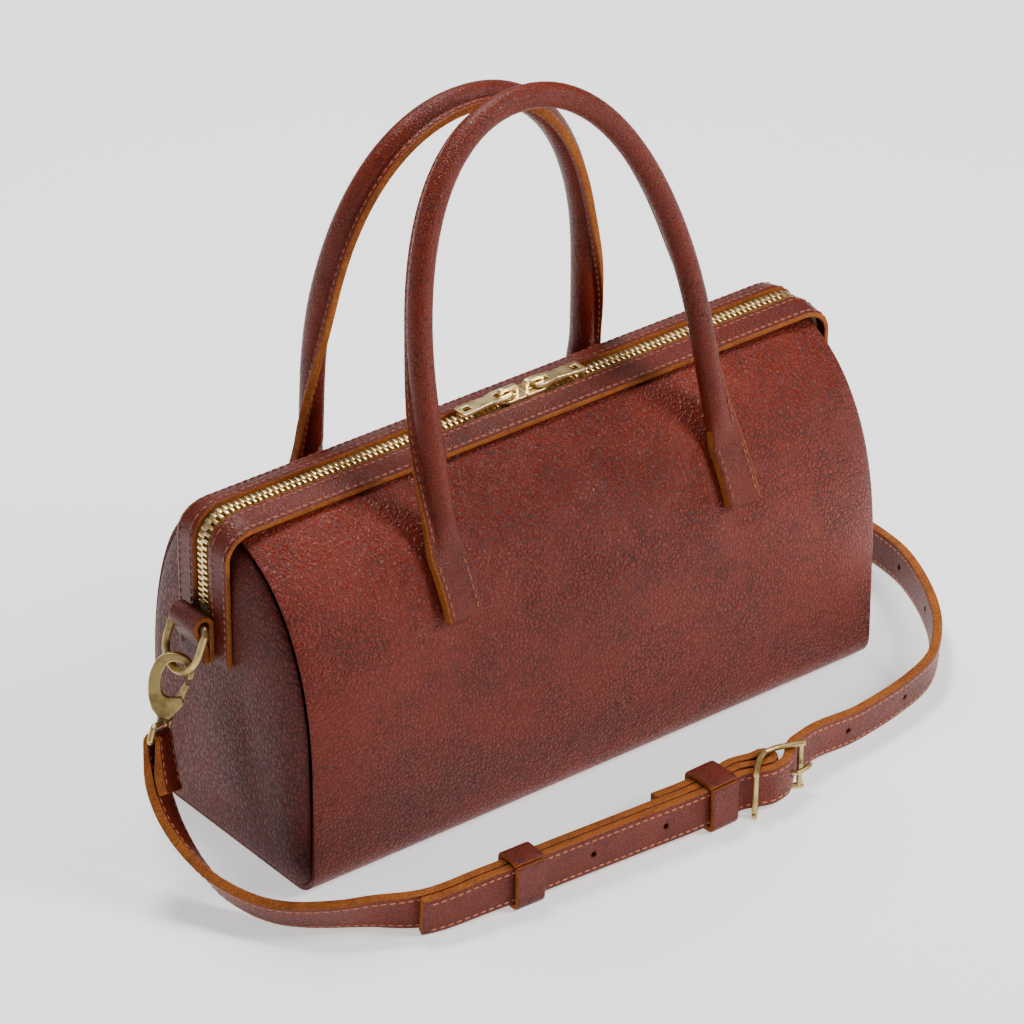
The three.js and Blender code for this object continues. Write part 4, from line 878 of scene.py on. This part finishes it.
# CAD node, name here, finish, slot, body that it moves with, size of voxels, smoothing rounds
END_METAL = [("d_ring", "ring", aged_brass, "aged_brass", None, 0.25, 5),
             ("clasp_hook", "hook", aged_brass, "aged_brass", "hook", 0.2, 5),
             ("clasp_gate", "gate", aged_brass, "aged_brass", "gate", 0.12, 3),
             ("clasp_swivel", "swivel", aged_brass, "aged_brass", None, 0.2, 5),
             ("slider", "zip_slider", gilt, "zip_metal", None, 0.13, 3),
             ("pull", "zip_pull", gilt, "zip_metal", "pull", 0.14, 3)]
for end in ("left", "right"):
    for node, label, material, slot, body, voxel, rounds in END_METAL:
        fit(softened(f"{node}_{end}", f"{label}_{end}", material, voxel, rounds),
            f"{node}_{end}", f"{body}_{end}" if body else "bag")
for node, label, voxel, rounds in (("buckle_frame", "buckle", 0.18, 4),
                                   ("buckle_tongue", "buckle_pin", 0.14, 3)):
    fit(softened(node, label, aged_brass, voxel, rounds), node)


def make_end_tab(side, name):
    seat = STRIP_END + STRIP_THICKNESS + GAP
    foot, thick = 84.5, LOOP_THICKNESS
    inside = RING_WIRE + 0.9
    radius, axis = inside + thick / 2, seat + inside + thick
    neck = mix(foot, RING_HEIGHT, 0.42)
    inner = [(seat + thick / 2, z) for z in np.linspace(foot, RING_HEIGHT, 12)[:-1]]
    bend = [(axis + radius * math.cos(t), RING_HEIGHT + radius * math.sin(t))
            for t in np.linspace(np.pi, -0.75, 26)]
    outer = [(seat + 1.5 * thick + GAP, z) for z in np.linspace(neck, foot, 9)]
    line = resample(np.array(inner + bend + outer), 70)
    centre = np.column_stack([side * line[:, 0], np.full(70, TOP_LEAN), line[:, 1]])
    route = make_route(centre, np.tile([0.0, 1.0, 0.0], (70, 1)))
    length = route["length"]
    tab = flat_slab(f"end_tab_{name}", length, LOOP_WIDTH, thick, 0.9, 10, strip_leather, raw_edge)
    lay_on(tab, route)
    shade(tab, 50)
    fit(tab, f"ring_loop_{name}")
    up = 1 if route["face"][-1][0] * side > 0 else -1
    stitches = join(f"tab_stitches_{name}", [
        stitch_row(length - 8, length - 1, y, up * (thick / 2 + 0.05), dark_thread, 2.4)
        for y in (-6.2, 6.2)])
    lay_on(stitches, route)
    extra(stitches)


for side, name in ((-1, "left"), (1, "right")):
    make_end_tab(side, name)

# %% [markdown]
# ## The strap's route
#
# The strap is two lengths of two-ply leather joined by the buckle. It leaves the clasp at each
# end, falls to the ground and stands on its edge round the bag. Its route is a table of places;
# a Catmull-Rom curve goes smoothly through them, and a second table says how far the strap leans.

# %%
# how far along, out and up from the clasp's bar, in shares of its height, and how upright
RISE = [(0, 0, 0, 0), (-0.023, -0.041, -0.105, 0.05), (-0.056, -0.124, -0.269, 0.2),
        (-0.066, -0.225, -0.408, 0.4), (-0.052, -0.335, -0.539, 0.6),
        (-0.025, -0.475, -0.658, 0.8), (0.018, -0.64, -0.755, 0.95), (0.078, -0.78, -0.812, 1)]
# how far along and out, in halves of the bag's length and depth, and the lean in degrees
GROUND = [(-1.175, -1.01, 33), (-1.132, -1.22, 33), (-1.088, -1.374, 31), (-1.038, -1.514, 28),
          (-0.978, -1.63, 21), (-0.867, -1.8, 8), (-0.708, -1.9, 2), (-0.436, -1.944, 0),
          (-0.113, -1.996, 0), (0.025, -2.018, 0), (0.181, -2.004, 0), (0.393, -1.9, 2),
          (0.519, -1.824, 8), (0.696, -1.786, 10), (0.879, -1.7, 10), (1.025, -1.56, 8),
          (1.142, -1.29, 4), (1.213, -1.05, 1), (1.269, -0.79, 0), (1.313, -0.53, 0),
          (1.348, -0.24, 0), (1.363, 0.2, 0), (1.35, 1, 0), (1.26, 1.75, 0), (1.05, 2.33, 0),
          (0.74, 2.7, 0), (0.38, 2.84, 0), (0.1, 2.68, 0), (0.04, 2.25, 0), (0.22, 1.9, 0),
          (0.56, 1.76, 0), (0.9, 1.56, -10), (1.1, 1.35, -26), (1.184, 1.134, -33)]
turn, recline, swing, hang = (math.radians(degrees) for degrees in (38, 19, 15, 22))
clasp_across = np.array([math.cos(turn), -math.sin(turn), 0])
clasp_up = np.array([math.sin(recline) * math.sin(turn), math.sin(recline) * math.cos(turn),
                     math.cos(recline)])
clasp_face = np.cross(clasp_across, clasp_up)
ring_axis = np.array([-(STRIP_END + STRIP_THICKNESS + GAP) - 4.6, TOP_LEAN, RING_HEIGHT])
clasp_top = ring_axis - RING_REACH * np.array([math.sin(hang), 0, math.cos(hang)])
foot = np.array([-0.198, -0.754]) * 24
shank = foot / np.linalg.norm(foot)
bar = foot + shank * 8.2
left_bar = clasp_top + clasp_across * bar[0] + clasp_up * bar[1]
sideways = -shank[1] * clasp_across + shank[0] * clasp_up
left_axis = -math.cos(swing) * clasp_face + math.sin(swing) * sideways
right_axis = left_axis * [-1, -1, 1]
print("left bar at", np.round(left_bar, 1))


def catmull_rom(knots, count):
    ends = np.vstack([2 * knots[0] - knots[1], knots, 2 * knots[-1] - knots[-2]])
    out = np.empty((count + 1, 3))
    for k in range(count + 1):
        place = k / count * (len(knots) - 1)
        row = min(int(place), len(knots) - 2)
        p0, p1, p2, p3 = ends[row:row + 4]
        d0, d1, d2 = (max(np.linalg.norm(b - a), 1e-6) ** 0.5
                      for a, b in ((p0, p1), (p1, p2), (p2, p3)))
        t1 = ((p1 - p0) / d0 - (p2 - p0) / (d0 + d1) + (p2 - p1) / d1) * d1
        t2 = ((p2 - p1) / d1 - (p3 - p1) / (d1 + d2) + (p3 - p2) / d2) * d1
        w = place - row
        out[k] = (p1 + t1 * w + (3 * (p2 - p1) - 2 * t1 - t2) * w ** 2
                  + (2 * (p1 - p2) + t1 + t2) * w ** 3)
    return out


def strap_line():
    half_stack, rest, count = STRAP_THICKNESS + GAP / 2, 0.3, 1600
    rise = [(*(np.array([along, out, up]) * left_bar[2] + left_bar), upright, math.radians(34))
            for along, out, up, upright in RISE]
    ground = []
    for along, out, lean in GROUND:
        lean = math.radians(lean)
        height = STRAP_WIDTH / 2 * math.cos(lean) + half_stack * abs(math.sin(lean)) + rest
        ground.append((along * BAG_LENGTH / 2, out * BAG_DEPTH / 2, height, 1, lean))
    right = [(-x, 2 * TOP_LEAN - y, z, upright, -lean) for x, y, z, upright, lean in rise][::-1]
    rows = np.array(rise + ground + right, dtype=float)
    line = catmull_rom(rows[:, :3], count)
    place = np.arange(count + 1) / count * (len(rows) - 1)
    upright = np.interp(place, np.arange(len(rows)), rows[:, 3])[:, None]
    lean = np.interp(place, np.arange(len(rows)), rows[:, 4])
    along = np.vstack([line[1] - line[0], line[2:] - line[:-2], line[-1] - line[-2]])
    outward = unit(np.column_stack([along[:, 1], -along[:, 0], np.zeros(count + 1)]))
    stood = -outward * np.sin(lean)[:, None]
    stood[:, 2] -= np.cos(lean)
    axis = np.where((np.arange(count + 1) > count / 2)[:, None], right_axis, left_axis)
    wide = unit(axis * (1 - upright) + stood * upright)
    return running(line), line, wide, unit(along)


line_run, line_points, line_wide, line_along = strap_line()
STRAP_RUN = float(line_run[-1])
BUCKLE = float(line_run[np.argmax(line_points[:, 0] > 0.29 * BAG_LENGTH / 2)])
FIXED_KEEPER, SLIDING_KEEPER, KEEPER_WIDTH = 26, 115, 12.5
LIFT_START, LIFT_END = BUCKLE - SLIDING_KEEPER - 3.5 * KEEPER_WIDTH, BUCKLE + 54
LAYER, STEP = (STRAP_THICKNESS + GAP) / 2, 1.5
EASING, FOLD, HUMP, REACH, CROSSING, TAIL, BUCKLE_FOLD = 16, 21, 14, 17, 42, 158, 52
CLASP_RADIUS, BUCKLE_RADIUS = 1.1 + GAP + FOLD_THICKNESS / 2, 1.1 + GAP + STRAP_THICKNESS / 2
WRAPPED = BUCKLE_BACK - BUCKLE_RADIUS


def strap_frame(run):
    run = np.atleast_1d(run)
    centre, wide, along = (take(t, run, line_run) for t in (line_points, line_wide, line_along))
    along = unit(along)
    inner = unit(np.cross(along, unit(wide)))
    lift = 2.4 * smooth_step((run - LIFT_START) / 30) * smooth_step((LIFT_END - run) / 30)
    centre = centre + lift[:, None] * np.array([0, 0, 1])
    return centre, along, inner, np.cross(inner, along)


def strap_places(run, offset):
    centre, along, inner, wide = strap_frame(run)
    thick = mix(FOLD_THICKNESS, STRAP_THICKNESS,
                smooth_step(np.minimum(run, STRAP_RUN - run) / EASING))
    return np.column_stack([centre + inner * np.atleast_1d(offset)[:, None], wide, thick])


def bar_turn(run, bar_offset, radius, ahead, start):
    centre, along, inner, wide = (v[0] for v in strap_frame(run))
    thick = strap_places(np.array([run]), np.array([0.0]))[0, 6]
    middle = centre + inner * bar_offset
    turn = np.pi * (np.arange(14) + 0.5) / 14
    ring = (middle + np.outer(start * radius * np.cos(turn), inner)
            + np.outer(ahead * radius * np.sin(turn), along))
    return np.column_stack([ring, np.tile(wide, (14, 1)), np.full(14, thick)])


def route_of(*parts):
    """Joins stretches of the strap; points that nearly coincide are left out."""
    rows = np.vstack(parts)
    run = running(rows[:, :3])
    keep = np.concatenate([[True], np.diff(run) > 0.05])
    route = make_route(rows[keep, :3], rows[keep, 3:6])
    return {**route, "run": run[keep], "thin": rows[keep, 6] / STRAP_THICKNESS,
            "length": float(run[keep][-1])}


def short_route():
    fold = np.arange(FOLD, 0, -STEP)
    crossing = BUCKLE - TAIL - 14 - CROSSING
    main = np.arange(0, BUCKLE, STEP)
    offset = np.where(main < crossing,
                      mix(-CLASP_RADIUS, -LAYER, smooth_step(main / EASING)),
                      mix(-LAYER, LAYER, smooth_step((main - crossing) / CROSSING)))
    offset = np.where(main < BUCKLE - HUMP, offset,
                      mix(LAYER, WRAPPED, smooth_step((main - BUCKLE + HUMP) / HUMP)))
    back = np.arange(BUCKLE, BUCKLE - BUCKLE_FOLD, -STEP)
    behind = mix(BUCKLE_BACK + BUCKLE_RADIUS, LAYER + STRAP_THICKNESS + GAP,
                 smooth_step((BUCKLE - back) / (HUMP - 1)))
    return route_of(strap_places(fold, mix(CLASP_RADIUS, LAYER, smooth_step(fold / EASING))),
                    bar_turn(0, 0, CLASP_RADIUS, -1, 1), strap_places(main, offset),
                    bar_turn(BUCKLE, BUCKLE_BACK, BUCKLE_RADIUS, 1, -1),
                    strap_places(back, behind))


def long_route():
    over = WRAPPED - STRAP_THICKNESS - GAP
    crossing = STRAP_RUN - FOLD - 4
    main = np.arange(BUCKLE - TAIL, STRAP_RUN, STEP)
    away = np.abs(main - BUCKLE)
    offset = np.where(main < crossing,
                      mix(-LAYER, LAYER, smooth_step((main - crossing) / CROSSING + 1)),
                      mix(CLASP_RADIUS, LAYER, smooth_step((STRAP_RUN - main) / EASING)))
    over_bar = mix(-LAYER, over, smooth_step((REACH - away) / (REACH - 2)))
    offset = np.where(away < REACH, over_bar, offset)
    fold = np.arange(STRAP_RUN, STRAP_RUN - FOLD, -STEP)
    behind = -mix(CLASP_RADIUS, LAYER, smooth_step((STRAP_RUN - fold) / EASING))
    return route_of(strap_places(main, offset), bar_turn(STRAP_RUN, 0, CLASP_RADIUS, 1, 1),
                    strap_places(fold, behind))


short, long = short_route(), long_route()
print("straps", round(short["length"]), round(long["length"]), "hook to hook", round(STRAP_RUN))

# %% [markdown]
# ## The straps
#
# Both straps are flat slabs laid on their routes, folded round the clasps' bars and the buckle's
# middle bar. Two rows of stitches run near the edges on both faces. The holes are cut with one
# Boolean of a row of cylinders, and the buckle's pin gets the same room as in the CAD model.

# %%
def hole_cutter():
    cutters = []
    for k in (-3, -2, -1, 1, 2, 3, 4, 5):
        centre, along, inner, wide = (
            v[0] for v in strap_frame(BUCKLE + TONGUE_HOLE + k * HOLE_SPACING))
        deselect()
        bpy.ops.mesh.primitive_cylinder_add(vertices=20, radius=HOLE_RADIUS * MM, depth=8 * MM)
        cutter = named("hole")
        turned = points(cutter) @ np.array([along, wide, inner])
        put(cutter, (centre - inner * LAYER) * MM + turned)
        cutters.append(cutter)
    return join("holes", cutters)


def pin_room():
    room = softened("buckle_tongue", "pin_room", aged_brass, 0.3, 2)
    apply_modifier(room, "DISPLACE", strength=0.35 * MM, mid_level=0)
    return room


holes, room = hole_cutter(), pin_room()
seam, face_height = STRAP_WIDTH / 2 - 1.9, STRAP_THICKNESS / 2 - 0.06
for node, route, cutters in (("strap_short", short, [room]), ("strap_long", long, [holes, room])):
    strap = flat_slab(f"{node}_leather", route["length"], STRAP_WIDTH, STRAP_THICKNESS, 1.5, 8,
                      strap_leather, raw_edge, 0.5)
    lay_on(strap, route)
    edit(strap)
    bpy.ops.mesh.normals_make_consistent(inside=False)
    bpy.ops.object.mode_set(mode="OBJECT")
    for cutter in cutters:
        cut(strap, cutter)
    shade(strap, 45)
    fit(strap, node)
    rows = [stitch_row(3, route["length"] - 3, y, z, copper_thread)
            for y in (-seam, seam) for z in (-face_height, face_height)]
    sew(f"{node}_stitches", rows, route)
only(holes, room)
bpy.ops.object.delete()

# %% [markdown]
# ## The keepers
#
# Two leather loops hold the strap's layers together. Each is a short flat piece laid round a
# rounded rectangle that is a little larger than the layers inside it.

# %%
def make_keeper(place, behind, node):
    centre, along, inner, wide = (v[0] for v in strap_frame(BUCKLE - place))
    clear, thick = 1.4 * GAP, LOOP_THICKNESS
    near = -(STRAP_THICKNESS + GAP / 2) - clear
    far = -near + behind * (STRAP_THICKNESS + GAP)
    half = STRAP_WIDTH / 2 + clear + thick / 2
    corner = thick * 0.95
    low, high = near - thick / 2 + corner, far + thick / 2 - corner
    left, right = corner - half, half - corner
    quarter = np.linspace(0, np.pi / 2, 7)
    outline = [(x + corner * math.cos(q + k * np.pi / 2), y + corner * math.sin(q + k * np.pi / 2))
               for k, (x, y) in enumerate([(high, right), (low, right), (low, left), (high, left)])
               for q in quarter]
    line = resample(np.roll(np.array(outline), 11, axis=0), 90)
    route = make_route(centre + np.outer(line[:, 0], inner) + np.outer(line[:, 1], wide),
                       np.tile(along, (90, 1)))
    keeper = flat_slab(f"{node}_leather", route["length"], KEEPER_WIDTH, thick, 0.7, 10,
                       strap_leather, raw_edge)
    lay_on(keeper, route)
    shade(keeper, 50)
    fit(keeper, node)


make_keeper(FIXED_KEEPER, 1, "keeper_fixed")
make_keeper(SLIDING_KEEPER, 0, "keeper_sliding")

# %% [markdown]
# ## Floor, light and camera
#
# The bag stands on a plain pale floor in soft studio light: one broad light above and a little
# behind for the gloss on the top, a second one in front on the right for the leather's colour, a
# weak one from the left for the end, and a weak world light that opens the shadows.

# %%
deselect()
bpy.ops.mesh.primitive_plane_add(size=8)
floor = named("floor")
paper = Nodes("floor paper")
dress(floor, paper.set(Base_Color=(0.92, 0.92, 0.92), Roughness=0.9, Specular_IOR_Level=0.1,
                       Emission_Color=(1, 1, 1), Emission_Strength=0.7))


def soft_light(name, place, aim, size, power):
    data = bpy.data.lights.new(name, "AREA")
    data.shape, data.size, data.energy = "DISK", size, power
    light = bpy.data.objects.new(name, data)
    bpy.context.scene.collection.objects.link(light)
    light.location = place
    x, y, z = np.array(place) - np.array(aim)
    light.rotation_euler = (math.atan2(math.hypot(x, y), z), 0, math.atan2(y, x) + math.pi / 2)


soft_light("top light", (0.1, 0.5, 1.3), (0, 0, 0.1), 0.42, 20)
soft_light("front light", (0.85, -1.0, 1.05), (0, 0, 0.08), 0.6, 22)
soft_light("left light", (-1.5, 0.3, 1.0), (0, 0, 0.08), 0.5, 3)
world = bpy.data.worlds.new("studio")
bpy.context.scene.world = world
world.use_nodes = True
sky = world.node_tree.nodes["Background"]
sky.inputs["Color"].default_value = (1, 1, 1, 1)
sky.inputs["Strength"].default_value = 0.16

lens = bpy.data.cameras.new("camera")
camera = bpy.data.objects.new("camera", lens)
bpy.context.scene.collection.objects.link(camera)
lens.sensor_width, lens.lens, lens.clip_end = 36, 204.4, 20
aim, distance = np.array([-0.0031, 0.001, 0.0944]), 2.2
azimuth, elevation = math.radians(-38), math.radians(30.8)
back = np.array([math.sin(azimuth) * math.cos(elevation),
                 -math.cos(azimuth) * math.cos(elevation), math.sin(elevation)])
camera.location = aim + back * distance
camera.rotation_euler = (math.pi / 2 - elevation, 0, azimuth)
bpy.context.scene.camera = camera
print("camera at", [round(v, 3) for v in camera.location])
